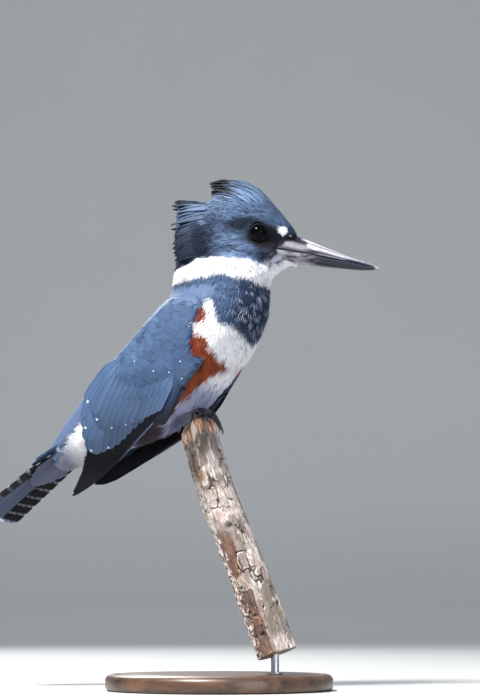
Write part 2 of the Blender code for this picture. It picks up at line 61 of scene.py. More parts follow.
# %% Smooth steps and random fields
def soft(value, start, end):
    """0 before start, 1 past end, and a smooth step between."""
    t = np.clip((value - start) / (end - start), 0, 1)
    return t * t * (3 - 2 * t)


def fade(value, start, end):
    """1 before start, 0 past end, and a smooth step between."""
    return 1 - soft(value, start, end)


def grain(points, size, seed=0):
    """Smooth random values from -1 to 1 that change over about `size` millimetres."""
    q = np.asarray(points, float) / size + seed * 31.7
    cell = np.floor(q).astype(np.int64)
    part = q - cell
    part = part * part * (3 - 2 * part)
    total = np.zeros(len(q))
    for corner in np.ndindex(2, 2, 2):
        n = cell + corner
        mixed = n[:, 0] * 73856093 ^ n[:, 1] * 19349663 ^ n[:, 2] * 83492791
        mixed = (mixed ^ (mixed >> 13)) * 1274126177 & 0x7FFFFFFF
        share = np.prod(np.where(corner, part, 1 - part), axis=1)
        total += share * ((mixed ^ (mixed >> 15)) & 0xFFFF) / 65535
    return total * 2 - 1


def spread(rows, count):
    """Rows of a table read at `count` even steps along a smooth curve."""
    rows = np.array(rows, float)
    step = np.diff(rows, axis=0)
    slope = np.zeros_like(rows)
    same = step[:-1] * step[1:] > 0
    both = np.where(same, step[:-1] + step[1:], 1)
    slope[1:-1] = np.where(same, 2 * step[:-1] * step[1:] / both, 0)
    slope[0] = step[0]
    slope[-1] = step[-1]
    t = np.linspace(0, len(rows) - 1, count)
    k = np.minimum(t.astype(int), len(rows) - 2)
    u = (t - k)[:, None]
    start = (2 * u**3 - 3 * u**2 + 1) * rows[k] + (u**3 - 2 * u**2 + u) * slope[k]
    end = (3 * u**2 - 2 * u**3) * rows[k + 1] + (u**3 - u**2) * slope[k + 1]
    return start + end


def unit(way):
    """A direction, or each row of an array of them, at the length of one."""
    return way / np.linalg.norm(way, axis=-1, keepdims=True)


# %% [markdown]
# ## Where a point is on the bird
# Plumage follows the body, so its markings are easiest to say in the body's own terms.
# `round_body` gives how far along the spine's curve a point is, counted from the neck, and
# how far round from the middle of the breast and belly. `in_head` gives a place in the
# turned head: how far ahead of the neck, how far to its left, and how high.

# %% The spine's curve and the turned head
SPINE = [(3, 266.5), (1.6, 260), (0.8, 249), (-3, 236), (-10.2, 222.5), (-21.4, 209.5),
         (-35.5, 195), (-54.4, 180), (-74, 167.5), (-92, 155), (-107, 143.5)]
spine = spread(SPINE, 240)
spine_way = unit(np.gradient(spine, axis=0))
spine_at = np.concatenate([[0], np.cumsum(np.hypot(*np.diff(spine, axis=0).T))])
print("spine length:", round(float(spine_at[-1]), 1), "mm")


def round_body(points):
    """Distance down the spine, degrees round from the belly's middle, and the spine's way."""
    near = []
    for part in np.array_split(points, max(1, len(points) // 20000)):
        gap = (part[:, 0:1] - spine[:, 0]) ** 2 + (part[:, 2:3] - spine[:, 1]) ** 2
        near.append(gap.argmin(axis=1))
    near = np.concatenate(near)
    way = spine_way[near]
    off = points[:, [0, 2]] - spine[near]
    front = -off[:, 0] * way[:, 1] + off[:, 1] * way[:, 0]
    turn = np.degrees(np.arctan2(np.abs(points[:, 1]), front))
    return spine_at[near], turn, way


HEAD_TURN = math.radians(19)
NECK = np.array([1.3, 0, 0])
HEAD_AHEAD = np.array([math.cos(HEAD_TURN), math.sin(HEAD_TURN), 0])
HEAD_LEFT = np.array([-math.sin(HEAD_TURN), math.cos(HEAD_TURN), 0])


def in_head(points):
    """Distance ahead of the neck, to the head's left, and height."""
    off = points - NECK
    return off @ HEAD_AHEAD, off @ HEAD_LEFT, points[:, 2]


def from_head(ahead, left, high):
    """The point in space of a place in the turned head."""
    return NECK + ahead * HEAD_AHEAD + left * HEAD_LEFT + np.array([0, 0, high])


# %% [markdown]
# ## The skin
# One closed skin runs under the whole coat, so nothing parts when it is seen from close by.
# It is made from copies of the carved flesh, swollen a little so that their parting gaps
# close, rebuilt as one shell with the voxel remesher and smoothed. Then it is drawn in by the
# depth of the coat, which is thin on the face and wings and deepest at the nape.


# %% Merge, rebuild and smooth the flesh
WELD = 0.01


def mesh_from(name, bm):
    """A mesh with the geometry that was worked on, which is then let go."""
    mesh = bpy.data.meshes.new(name)
    bm.to_mesh(mesh)
    bm.free()
    return mesh


def merged_copy(names, grow):
    """One mesh from copies of carved parts, welded and swollen by `grow` millimetres."""
    bm = bmesh.new()
    for name in names:
        bm.from_mesh(carved[name].data)
    bmesh.ops.remove_doubles(bm, verts=bm.verts, dist=WELD * MM)
    bm.normal_update()
    for v in bm.verts:
        v.co += v.normal * grow * MM
    return mesh_from("merged", bm)


def new_object(name, mesh):
    made = bpy.data.objects.new(name, mesh)
    bpy.context.scene.collection.objects.link(made)
    return made


def worked_out(obj):
    """The mesh that an object's modifiers make of it. The modifiers are then removed."""
    graph = bpy.context.evaluated_depsgraph_get()
    mesh = bpy.data.meshes.new_from_object(obj.evaluated_get(graph), depsgraph=graph)
    obj.modifiers.clear()
    return mesh


def rebuilt(name, mesh, voxel, rounds):
    """A closed shell round a mesh, rebuilt at a voxel size in millimetres and smoothed."""
    shell = new_object(name, mesh)
    remesh = shell.modifiers.new("rebuild", "REMESH")
    remesh.mode = "VOXEL"
    remesh.voxel_size = voxel * MM
    smooth = shell.modifiers.new("smooth", "SMOOTH")
    smooth.factor = 0.5
    smooth.iterations = rounds
    shell.data = worked_out(shell)
    return shell


def numbers_of(data, field, wide=1, kind=np.float32):
    """One number, or a row of `wide` numbers, for each item of a mesh's data."""
    found = np.empty(len(data) * wide, kind)
    data.foreach_get(field, found)
    return found.reshape(-1, wide) if wide > 1 else found


def places(mesh):
    """The mesh's vertices as an array in millimetres."""
    return numbers_of(mesh.vertices, "co", 3).astype(float) / MM


def outward(mesh):
    """The way that the surface faces at each of its vertices."""
    return numbers_of(mesh.vertex_normals, "vector", 3).astype(float)


def place(mesh, points):
    """Moves the mesh's vertices to places in millimetres."""
    mesh.vertices.foreach_set("co", (points * MM).astype(np.float32).ravel())
    mesh.update()


BODY = ["crest", "head", "neck", "breast", "back", "belly", "rump"]
SHOULDERS = ["wing_coverts_left", "wing_coverts_right"]
skin = rebuilt("skin", merged_copy(BODY + SHOULDERS, 0.25), 1.25, 9)
print("skin faces:", len(skin.data.polygons))

# %% [markdown]
# The skin remembers which of its points belong to the folded wings, since the wing's coat
# is sleeker. A point belongs to the wing where the carved wing is nearer than the body. The
# step where a wing meets the back is then smoothed away, so that the shoulders run on.


# %% Wing or body, and the depth of the coat
def search_of(meshes):
    """A search tree over some meshes."""
    bm = bmesh.new()
    for mesh in meshes:
        bm.from_mesh(mesh)
    found = BVHTree.FromBMesh(bm)
    bm.free()
    return found


def search_carved(names):
    return search_of([carved[name].data for name in names])


def gap_to(names, points):
    """How far each point is from the nearest of some carved parts, in metres."""
    search = search_carved(names)
    return np.array([search.find_nearest(Vector(p) * MM)[3] for p in points])


CREST_TOP = ([-31, -28, -8.5, -6, -2, 1, 5, 10, 14, 18, 24, 30],
             [296, 299.2, 299.4, 299.8, 301.5, 304.6, 307.6, 309, 309.2, 308.4, 305.6, 302])
skin_at = places(skin.data)
to_line = gap_to(BODY, skin_at) - gap_to(SHOULDERS, skin_at)
on_wing = soft(to_line, -0.0002, 0.0002)
skin_along, skin_turn, _ = round_body(skin_at)
skin_ahead, skin_left, skin_high = in_head(skin_at)
depth = 1.2 + 0.7 * soft(skin_along, 2, 25) * (1 - on_wing)
depth = depth - 0.5 * soft(skin_ahead, 22, 38) * soft(skin_high, 256, 262)
depth = depth + 0.8 * soft(skin_high, 298, 306) * fade(skin_ahead, 18, 28)
depth = depth + 2.5 * soft(-skin_ahead, 15, 26) * soft(skin_high, 255, 270)
depth = depth + 1.6 * soft(skin_ahead, 30, 42) * fade(skin_high, 262, 268)
depth = depth - 0.45 * soft(skin_ahead, 16, 30) * soft(skin_high, 278, 286)
nape_fold = soft(-skin_ahead, 22, 30) * soft(skin_high, 236, 245) * fade(skin_high, 255, 262)
depth = depth + 2.2 * nape_fold
skin_at = skin_at - outward(skin.data) * depth[:, None]
ceiling = np.interp(skin_ahead, *CREST_TOP)
skin_at[:, 2] = np.where(skin_high > 285, np.minimum(skin_at[:, 2], ceiling), skin_at[:, 2])
place(skin.data, skin_at)
dorsal = np.maximum(soft(skin_turn, 96, 106), fade(skin_along, 24, 32))
shoulder_line = soft(-np.abs(to_line), -0.0080, -0.0030) * dorsal * fade(skin_along, 92, 100)
shoulder = skin.vertex_groups.new(name="shoulder")
for i in np.flatnonzero(shoulder_line > 0.05):
    shoulder.add([int(i)], float(shoulder_line[i]), "REPLACE")
melt = skin.modifiers.new("melt", "SMOOTH")
melt.iterations = 60
melt.vertex_group = "shoulder"
skin.data = worked_out(skin)
skin.vertex_groups.clear()
skin_at = places(skin.data)
print("coat depth:", round(depth.min(), 2), "to", round(depth.max(), 2), "mm")

# %% [markdown]
# ## The plumage's markings
# A female has a slate head with a dark mask and a white spot before the eye, a white collar,
# a slate breast band, then a rufous band that runs down the flanks over a white belly. The
# markings are written once, as a rule from a place on the bird to a colour, so that the skin
# and every feather on it agree. Their edges are frayed by the same random field everywhere.

# %% Colours of the plumage
SLATE = np.array([0.046, 0.081, 0.156])
DEEP_SLATE = np.array([0.009, 0.015, 0.033])
PALE_SLATE = np.array([0.122, 0.182, 0.296])
LAVENDER = np.array([0.090, 0.118, 0.210])
WHITE = np.array([0.880, 0.870, 0.900])
FLECK = np.array([0.400, 0.440, 0.540])
SHADED_WHITE = np.array([0.620, 0.610, 0.720])
# The belly's greyer colour together with painted shade under the body.
BELLY_SHADE = np.array([0.250, 0.270, 0.440])
# Painted shade for the white feathers under the tail.
TAIL_SHADE = np.array([0.150, 0.155, 0.240])
RUFOUS = np.array([0.240, 0.052, 0.020])
BROWN = np.array([0.070, 0.035, 0.022])
SOOT = np.array([0.045, 0.040, 0.042])
GAPE_DARK = np.array([0.012, 0.011, 0.016])
INK = np.array([0.008, 0.008, 0.012])
JET = np.array([0.006, 0.006, 0.008])


def painted(like, colour):
    """One colour at every place of an array."""
    return np.ones(like.shape + (3,)) * colour


def cover(tone, colour, share):
    """A tone with a colour laid over it by a share from 0 to 1."""
    share = np.clip(share, 0, 1)[..., None]
    return tone * (1 - share) + colour * share


# %% Edges of the markings, as tables of the body's own measures
COLLAR_TOP = ([-30, -22, -14, -4, 7, 17, 21, 30, 44],
              [260.0, 263.0, 266.3, 266.6, 265.9, 265.8, 264.5, 263.8, 265.5])
COLLAR_END = ([0, 30, 50, 66, 84, 112, 133, 180], [16.2, 14.4, 12.8, 11.8, 11.5, 14.2, 18, 20])
BAND_END = ([0, 25, 42, 51, 60, 67, 76, 82, 90], [38.4, 35.8, 34.3, 34.8, 35.3, 31, 24, 27, 30])
BACK_LINE = ([20, 25, 30, 40, 60, 137, 146, 158, 169], [74, 80, 90, 98, 98, 98, 95, 85, 66])
RUFOUS_END = ([0, 16, 27, 33, 37, 50, 70], [52, 53.4, 55.7, 60, 70, 96, 112])
SPOT_AHEAD, SPOT_HIGH = 38.4, 283.3


def head_marks(tone, ahead, left, high, points):
    """The mask, the brow, the pale cheek and the spot before the eye, with painted light on the upper head
    and painted shade on the nape.
    """
    streak = grain(np.stack([ahead * 0.14, left, high * 0.8 + ahead * 0.06], 1), 1.25, 3)
    # The head's own paler slate, made paler still towards the top by painted light from above.
    tone = cover(tone, PALE_SLATE, 0.46 + 0.40 * soft(high, 286, 300))
    # Painted shade: the back of the head and the nape are darkened as if turned away from the light.
    nape = soft(-ahead, -9, 12) * fade(high, 284, 299)
    tone = cover(tone, DEEP_SLATE * 1.3, 0.80 * nape)
    ear = fade(np.hypot((ahead + 10) / 11, (high - 274) / 8.5), 0.45, 1.15)
    tone = cover(tone, DEEP_SLATE * 1.3, 0.85 * ear * soft(streak, -0.8, 0.2))
    cheek = soft(ahead, -10, 2) * fade(ahead, 16, 24) * fade(high, 274, 284)
    tone = cover(tone, PALE_SLATE * 1.25, 0.75 * cheek)
    tone = tone * np.clip(1 + (0.42 + 0.30 * cheek) * streak, 0.25, 3)[:, None]
    # Darker still: painted shade on the nape, the ear patch's own dark colour, and the crest's darker top.
    tone = tone * (1 - 0.45 * np.maximum(nape, ear) - 0.40 * soft(high, 296, 304))[:, None]
    side = soft(high, 280, 284) * fade(high, 292, 297) * fade(ahead, 8, 16)
    tone = cover(tone, PALE_SLATE * 1.3, 0.55 * side * soft(streak, 0.35, 0.8))
    crown = soft(high, 286, 300) * soft(grain(points, 1.6, 9), 0.15, 0.6)
    tone = cover(tone, DEEP_SLATE, 0.45 * crown)
    brow = fade(np.hypot((ahead - 16) / 13, (high - 286.5) / 4.6), 0.6, 1.25)
    mask = fade(np.hypot((ahead - 25.5) / 12, (high - 280) / 8.2), 0.72, 1.15)
    tone = cover(tone, DEEP_SLATE * 2, 0.75 * soft(ahead, 37, 42) * fade(high, 284, 289))
    lore = soft(ahead, 28, 33) * fade(high, 278.5, 282) * soft(high, 269, 272)
    lore = np.maximum(lore, soft(ahead, 32, 36) * fade(high - 0.12 * (ahead - 38), 280.4, 282.2))
    tone = cover(tone, INK, np.maximum.reduce([0.85 * brow, mask, lore]))
    under = fade(np.hypot((ahead - 28.5) / 6, (high - 273.6) / 2.8), 0.5, 1.1)
    tone = cover(tone, SOOT, 0.8 * under)
    chin = soft(ahead, 25, 33) * fade(high, 266, 270)
    tone = cover(tone, SHADED_WHITE, chin)
    gape = soft(ahead, 20, 27) * fade(high, 269, 272) * soft(high, 261.5, 264)
    gape = gape * soft(streak + 0.4 * soft(high, 263, 269), -0.05, 0.25)
    tone = cover(tone, GAPE_DARK, 0.92 * gape)
    x = (ahead - SPOT_AHEAD) / 2.5
    y = (high - SPOT_HIGH) / 2.5
    heart = (x * x + y * y - 1) ** 3 - x * x * y**3
    tone = cover(tone, WHITE, fade(heart, -0.05, 0.25))
    dot = np.hypot(ahead - 43.6, high - 281.0)
    return cover(tone, WHITE, 0.8 * fade(dot, 0.35, 0.7))


def under_marks(tone, along, turn, points, chance):
    """The breast band's end, the white breast patch, the rufous band and flanks, the belly, and painted
    shade on the belly, the vent and under the tail.
    """
    fray = 1.5 * grain(points, 2.4, 4) + 1.2 * grain(points, 6, 5)
    back_line = np.interp(along, *BACK_LINE)
    below = fade(turn, back_line - 3, back_line + 2)
    white = soft(along + fray, np.interp(turn, *BAND_END) - 1, np.interp(turn, *BAND_END) + 1) * below
    tone = cover(tone, WHITE, white)
    wide = turn + 3.0 * fray
    upper_patch = fade(np.hypot((along - 35.5) / 6.0, (wide - 87) / 12), 0.75, 1.05)
    lower_patch = fade(np.hypot((along - 50.0) / 6.5, (wide - 70) / 15), 0.80, 1.05)
    start = 48.5 + 0.04 * (50 - np.minimum(turn, 50)) + fray
    band = soft(along, start - 1, start + 1) * fade(along + fray, *[
        np.interp(turn, *RUFOUS_END) + k for k in (-2, 2)])
    band = band * (0.35 + 0.65 * soft(wide, 10, 24)) * soft(grain(points, 3.0, 6) + wide / 24, 0.2, 0.5)
    flank = soft(along, 58, 64) * soft(wide, 36, 40)
    rufous = np.maximum.reduce([upper_patch, lower_patch, band, flank]) * below
    rusty = RUFOUS * (1 + 0.25 * grain(points, 3, 7) + 0.5 * (chance - 0.5))[:, None]
    rusty = cover(rusty, BROWN * 0.6, 0.85 * soft(along, 82, 104))
    tone = cover(tone, rusty, rufous * fade(along, 112, 124))
    # The lower breast and belly turn grey-blue: partly their own greyer colour, partly painted shade under
    # the body.
    shaded = soft(along, 56, 72) * fade(along, 118, 132) * (1 - rufous) * below
    tone = cover(tone, BELLY_SHADE, 0.88 * shaded)
    # Painted shadow: the white vent is darkened to brown-black where it lies in shade between the wings.
    vent = soft(along + 0.25 * np.minimum(turn, 30) + fray, 101, 107) * fade(along, 116, 126)
    tone = cover(tone, BROWN * 0.35, 0.93 * vent * fade(turn, 58, 74))
    # Painted shade: the white under the tail is drawn grey-blue, as it lies in shade.
    under_tail = soft(along + 0.1 * (turn - 40), 149, 166) * below
    return cover(tone, TAIL_SHADE, 0.90 * under_tail)


def plumage(points, wing, chance):
    """The coat's colour at places on the bird, with painted light and shade in places; chance varies it
    from tuft to tuft.
    """
    along, turn, _ = round_body(points)
    ahead, left, high = in_head(points)
    fine = grain(points, 1.8, 1)
    broad = grain(points, 11, 2)
    body = 1 - wing
    tone = SLATE * (1 + 0.16 * broad + 0.10 * fine + 0.20 * (chance - 0.5))[:, None]
    shoulders = soft(turn, 58, 80) * fade(along, 22, 42)
    tone = tone * (1 - 0.16 * wing)[:, None]
    tone = cover(tone, LAVENDER, 0.55 * soft(along, 96, 130) * body)
    mantle = soft(turn, 92, 118) * soft(along, 14, 28) * fade(along, 96, 120)
    # Pale feather edges on the mantle, spread wider towards the top of the back as a painted highlight
    # from above.
    lit = mantle * (0.14 + 0.40 * soft(turn, 122, 150)) * soft(chance, 0.2, 0.9)
    tone = cover(tone, PALE_SLATE, lit)
    tone = cover(tone, DEEP_SLATE, 0.28 * mantle * fade(chance, 0.06, 0.12))
    tone = tone * (1 - 0.30 * shoulders)[:, None]
    tone = cover(tone, PALE_SLATE, 0.32 * soft(turn, 45, 75) * fade(along, 44, 50) * body)
    # Painted shade: the front of the breast band, under the head, is darkened. Its pale flecks are its
    # own.
    front = fade(turn, 36, 62) * soft(along, 12, 16) * fade(along, 40, 44) * body
    tone = cover(tone, DEEP_SLATE, 0.62 * front)
    flecks = front * soft(chance + 0.12 * fine, 0.80, 0.84)
    tone = cover(tone, FLECK, 0.8 * flecks)
    limit = 0.25 + 0.25 * soft(points[:, 0], -22, -16)
    tone = np.where((wing > limit)[:, None], tone, under_marks(tone, along, turn, points, chance))
    edge = np.interp(ahead, *COLLAR_TOP) + 0.9 * fine + 1.2 * grain(points, 4, 8)
    head = soft(high, edge - 0.7, edge + 0.7)
    end = np.interp(turn, *COLLAR_END) + 0.8 * fine + grain(points, 5, 11)
    collar = (1 - head) * fade(along, end - 0.8, end + 0.8) * body
    tone = cover(tone, WHITE, collar)
    streaks = grain(np.stack([ahead * 0.3, left, high], 1), 1.7, 12)
    malar = soft(ahead, 17, 23) * soft(high, 260.5, 262.5) * (1 - head) * soft(streaks, -0.25, 0.1)
    malar = malar * fade(ahead, 34, 40)
    tone = cover(tone, DEEP_SLATE * 1.4, 0.95 * malar)
    faced = head_marks(tone, ahead, left, high, points)
    return np.clip(cover(tone, faced, head * (1 - wing)), 0.004, 0.9)


# %% [markdown]
# The rump's sides carry a row of dark and white spots where the slate of the back meets the
# white under the tail. The wing's lower front lies in the dark slate of its primary coverts,
# darkened further by painted shade.


# %% Rump spots and the wing's shading
def late_marks(tone, points, wing):
    along, turn, _ = round_body(points)
    line = np.interp(along, *BACK_LINE)
    near = fade(np.abs(turn - line - 2), 1.5, 3.5) * soft(along, 132, 138) * (1 - wing)
    beat = np.sin(along * 2 * math.pi / 5.2)
    tone = cover(tone, DEEP_SLATE, 0.5 * near * soft(beat, -0.1, 0.3))
    tone = cover(tone, WHITE, near * 0.10 * fade(beat, -0.95, -0.8))
    # The dark slate of the primary coverts, with painted shade at the wing's lower front.
    low = wing * fade(points[:, 2] - 0.35 * points[:, 0], 190, 214)
    return cover(tone, DEEP_SLATE, 0.5 * low)


# %% [markdown]
# ## The lie of the coat
# Feathers point away from the bill: back over the head, up into the crest, then down the neck
# and along the body towards the tail. A direction is worked out for every point of the skin
# and laid flat on it, with a little disorder, and the tufts will follow it.


# %% Directions over the skin
def lie_of_coat(points, out):
    _, _, way = round_body(points)
    ahead, _, high = in_head(points)
    down = np.stack([way[:, 0], np.zeros(len(way)), way[:, 1]], 1)
    rise = 0.10 + 0.28 * soft(high, 292, 306) - 0.42 * fade(high, 268, 280)
    rise = rise - 0.35 * soft(-ahead, 12, 28) * fade(high, 288, 300)
    swept = -HEAD_AHEAD + rise[:, None] * np.array([0, 0, 1.0])
    share = soft(high, 260, 271)[:, None]
    found = down * (1 - share) + swept * share
    found = found + 0.16 * np.stack([grain(points, 5, s) for s in (21, 22, 23)], 1)
    found = found - out * np.sum(found * out, axis=1)[:, None]
    return found / np.maximum(np.linalg.norm(found, axis=1)[:, None], 1e-6)


skin_out = outward(skin.data)
lie = lie_of_coat(skin_at, skin_out)
print("lie of the coat at", len(lie), "points")

# %% [markdown]
# The skin is unfolded once, and each tuft will later take a small patch of that same flat
# layout at its own root, so skin and coat can share one map when colours are written out.


# %% Unfold the skin and give it its tone
def unfold(obj):
    """Unwraps an object's own shape into a new map, and gives the object back."""
    obj.data.uv_layers.new(name="OFBake")
    bpy.ops.object.select_all(action="DESELECT")
    bpy.context.view_layer.objects.active = obj
    obj.select_set(True)
    bpy.ops.object.mode_set(mode="EDIT")
    bpy.ops.mesh.select_all(action="SELECT")
    bpy.ops.uv.smart_project(angle_limit=math.radians(66), island_margin=0.003)
    bpy.ops.object.mode_set(mode="OBJECT")
    return obj


def keep_numbers(mesh, name, values, kind="FLOAT", field="value"):
    """Stores one value for each vertex under a name."""
    layer = mesh.attributes.get(name) or mesh.attributes.new(name, kind, "POINT")
    layer.data.foreach_set(field, np.asarray(values, np.float32).ravel())


def keep_tone(mesh, tone):
    """Stores a colour for each vertex, kept off pure black and pure white."""
    tone = np.clip(tone, 0.003, 0.9)
    keep_numbers(mesh, "tone", np.hstack([tone, np.ones((len(tone), 1))]), "FLOAT_COLOR", "color")


skin_chance = 0.5 + 0.5 * grain(skin_at, 1.3, 30)
keep_tone(skin.data, late_marks(plumage(skin_at, on_wing, skin_chance), skin_at, on_wing))
unfold(skin)
print("skin map:", skin.data.uv_layers[0].name)

# %% [markdown]
# ## A finish for the coat
# Each feather shows its own tone, kept on its mesh, darker near its root where it lies in the
# shade of the others. Barbs too fine to model are hinted at by a fine noise that shifts the
# colour a little and gives a slight bump, and a rough surface with little shine keeps it matt.


# %% Shader helpers
def finish_of(name):
    """A new material with its tree and its main shader."""
    made = bpy.data.materials.new(name)
    made.use_nodes = True
    return made, made.node_tree, made.node_tree.nodes["Principled BSDF"]


def give(node, inputs):
    """Sets a node's inputs by name or number, or links them where a socket is given."""
    for key, value in inputs.items():
        if isinstance(value, bpy.types.NodeSocket):
            node.id_data.links.new(value, node.inputs[key])
        else:
            node.inputs[key].default_value = value


def add(tree, kind, inputs=None, **settings):
    """A new node with its settings and its inputs."""
    made = tree.nodes.new(kind)
    for key, value in settings.items():
        setattr(made, key, value)
    give(made, inputs or {})
    return made


def kept(tree, name, output="Fac"):
    """A number or a colour that the mesh carries."""
    return add(tree, "ShaderNodeAttribute", attribute_name=name).outputs[output]


def sums(tree, operation, a, b=0.0, c=0.0, clamp=False):
    """One step of arithmetic on numbers or sockets."""
    return add(tree, "ShaderNodeMath", {0: a, 1: b, 2: c}, operation=operation,
               use_clamp=clamp).outputs[0]


def varied(tree, field, by, base):
    """A base that a field from 0 to 1 moves up and down."""
    return sums(tree, "MULTIPLY_ADD", sums(tree, "SUBTRACT", field, 0.5), by, base)


def tinted(tree, colour, factor):
    """A colour made lighter or darker by a number."""
    return add(tree, "ShaderNodeVectorMath", {0: colour, "Scale": factor}, operation="SCALE").outputs[0]


def own_tone(tree, factor):
    """The tone that the mesh carries, made lighter or darker."""
    return tinted(tree, kept(tree, "tone", "Color"), factor)


def blend_of(tree, share, a, b):
    """A mix of two colours."""
    return add(tree, "ShaderNodeMix", {0: share, 6: a, 7: b}, data_type="RGBA").outputs[2]


def own_space(tree, turn=None, stretch=None):
    """The object's own space, turned and then stretched where asked."""
    where = add(tree, "ShaderNodeTexCoord").outputs["Object"]
    for key, value in (("Rotation", turn), ("Scale", stretch)):
        if value:
            where = add(tree, "ShaderNodeMapping", {"Vector": where, key: value}).outputs[0]
    return where


def noise_of(tree, where, scale, detail=2.0, rough=0.5, output="Fac"):
    """Noise read at places; a larger scale is finer."""
    return add(tree, "ShaderNodeTexNoise", {"Vector": where, "Scale": scale, "Detail": detail,
                                            "Roughness": rough}).outputs[output]


def bump_of(tree, height, strength, distance):
    """The surface's direction, tilted by a height."""
    return add(tree, "ShaderNodeBump", {"Height": height, "Strength": strength,
                                        "Distance": distance}).outputs[0]


# %% The coat's own material
def coat_finish(name, gloss, shaft_share, root_shade):
    made, tree, shader = finish_of(name)
    fine = noise_of(tree, own_space(tree), 1400)
    shade = sums(tree, "MULTIPLY_ADD", kept(tree, "along"), root_shade, 1.1 - root_shade)
    off_shaft = sums(tree, "ABSOLUTE", sums(tree, "SUBTRACT", kept(tree, "strand"), 0.5))
    shaft = sums(tree, "LESS_THAN", off_shaft, 0.03)
    shade = sums(tree, "MULTIPLY_ADD", shaft, -shaft_share, varied(tree, fine, 0.35, shade))
    give(shader, {"Base Color": own_tone(tree, shade), "Roughness": gloss, "Specular IOR Level": 0.14,
                  "Normal": bump_of(tree, fine, 0.25, 0.0002)})
    return made


def hand_in(piece, finish, slot, *nodes):
    """Gives a piece its finish, hides the carved parts that it stands for, and hangs it under the root."""
    piece.data.materials.append(finish)
    if nodes:
        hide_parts(*nodes)
    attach(piece, "root")


down_finish = coat_finish("soft_feather", 0.65, 0.0, 0.34)
sleek_finish = coat_finish("sleek_feather", 0.58, 0.22, 0.10)
hand_in(skin, down_finish, "slate_feather", *BODY, *SHOULDERS)
print("finishes:", down_finish.name, sleek_finish.name)

# %% [markdown]
# ## Tufts
# Feather barbs on the head and underparts hang in fine points, while those of the back and
# wings close into small rounded vanes. So there are two little shapes to repeat: a tuft of a
# few closed slivers, and a thin cambered leaf. Both rise from the root and lie down again.


# %% Tufts of slivers and rounded leaves
SLIVER = ((0.0, 0.8), (0.35, 1.0), (0.72, 0.72), (1.0, 0.0))
ROUND_TIP = ((0, 0.35), (0.3, 0.85), (0.6, 1), (0.82, 0.9), (0.93, 0.66), (0.985, 0.34), (1, 0))
FINE_POINT = ((0, 0.45), (0.2, 0.85), (0.45, 1), (0.7, 0.75), (0.88, 0.4), (1, 0))


def spike_faces(base, rings, sides):
    """Faces of a closed spike: rings of points numbered from `base`, then one at the tip."""
    last = base + sides * (rings - 1)
    faces = [(r + s, r + sides + s, r + sides + (s + 1) % sides, r + (s + 1) % sides)
             for r in range(base, last, sides) for s in range(sides)]
    faces += [(last + s, last + sides, last + (s + 1) % sides) for s in range(sides)]
    return faces + [tuple(range(base, base + sides))]


def little_shape(name, verts, faces, along, strand):
    """A small mesh to repeat, kept out of the scene, with its own measures on its points."""
    mesh = bpy.data.meshes.new(name)
    mesh.from_pydata(verts, [], faces)
    keep_numbers(mesh, "along", along)
    keep_numbers(mesh, "strand", strand)
    return bpy.data.objects.new(name, mesh)


def tuft_of_slivers(name, count, long, wide, rise, fan, seed):
    """Closed slivers side by side, fanned by `fan` degrees and uneven in length."""
    chance = np.random.default_rng(seed)
    verts, faces, along, strand = [], [], [], []
    for k in range(count):
        place_across = (k - (count - 1) / 2) / (count - 1)
        lean = math.radians(fan * place_across + chance.uniform(-4, 4))
        reach = long * chance.uniform(0.72, 1.0)
        faces += spike_faces(len(verts), len(SLIVER) - 1, 3)
        for t, share in SLIVER:
            y = reach * t
            z = rise * (1 - (1 - t) ** 2) * (0.8 + 0.4 * (k % 2)) - y * y / 90
            x = place_across * wide * count * 0.55 + y * math.sin(lean)
            ring = [(-wide / 2, 0), (0, wide * 0.22), (wide / 2, 0)] if share else [(0, 0)]
            for dx, dz in ring:
                verts.append(((x + dx * share) * MM, y * math.cos(lean) * MM, (z + dz * share) * MM))
                along.append(t)
                strand.append(k / (count - 1))
    return little_shape(name, verts, faces, along, strand)


def leaf(name, long, wide, ridge, outline):
    """A thin closed leaf with a low ridge, whose half width follows an outline."""
    verts, along, strand = [], [], []
    for t, share in outline:
        ring = [(-1, 0), (0, ridge), (1, 0), (0, -0.5 * ridge)] if share else [(0, 0)]
        for v, up in ring:
            verts.append((v * share * wide / 2 * MM, long * t * MM, up * MM))
            along.append(t)
            strand.append((v + 1) / 2)
    return little_shape(name, verts, spike_faces(0, len(outline) - 1, 4), along, strand)


face_tuft = tuft_of_slivers("face_tuft", 3, 4.6, 0.36, 1.0, 22, 1)
neck_tuft = tuft_of_slivers("neck_tuft", 3, 5.8, 0.46, 1.4, 28, 2)
breast_tuft = tuft_of_slivers("breast_tuft", 4, 6.6, 0.46, 1.7, 36, 3)
belly_tuft = tuft_of_slivers("belly_tuft", 4, 8.5, 0.50, 1.8, 30, 4)
mantle_leaf = leaf("mantle_leaf", 9.5, 4.8, 0.10, ROUND_TIP)
wing_leaf = leaf("wing_leaf", 10.5, 6.4, 0.10, ROUND_TIP)
print("faces in a tuft:", len(breast_tuft.data.polygons), "in a leaf:", len(wing_leaf.data.polygons))

# %% [markdown]
# ## The tree that plants the coat
# The tree scatters points evenly over the part of the skin that is asked for, turns each so
# that it stands on the skin and points along the lie, and sets a tuft there. Its root's place
# is kept on the tuft, because the tone and the map are worked out from the root later.


# %% Build the coat tree
def new_tree(name, inputs):
    """An empty Geometry Nodes tree with named inputs."""
    tree = bpy.data.node_groups.new(name, "GeometryNodeTree")
    tree.interface.new_socket("Geometry", in_out="INPUT", socket_type="NodeSocketGeometry")
    for label, kind, value in inputs:
        socket = tree.interface.new_socket(label, in_out="INPUT", socket_type="NodeSocket" + kind)
        if value is not None:
            socket.default_value = value
    tree.interface.new_socket("Geometry", in_out="OUTPUT", socket_type="NodeSocketGeometry")
    return tree, tree.nodes.new("NodeGroupInput").outputs, tree.nodes.new("NodeGroupOutput").inputs


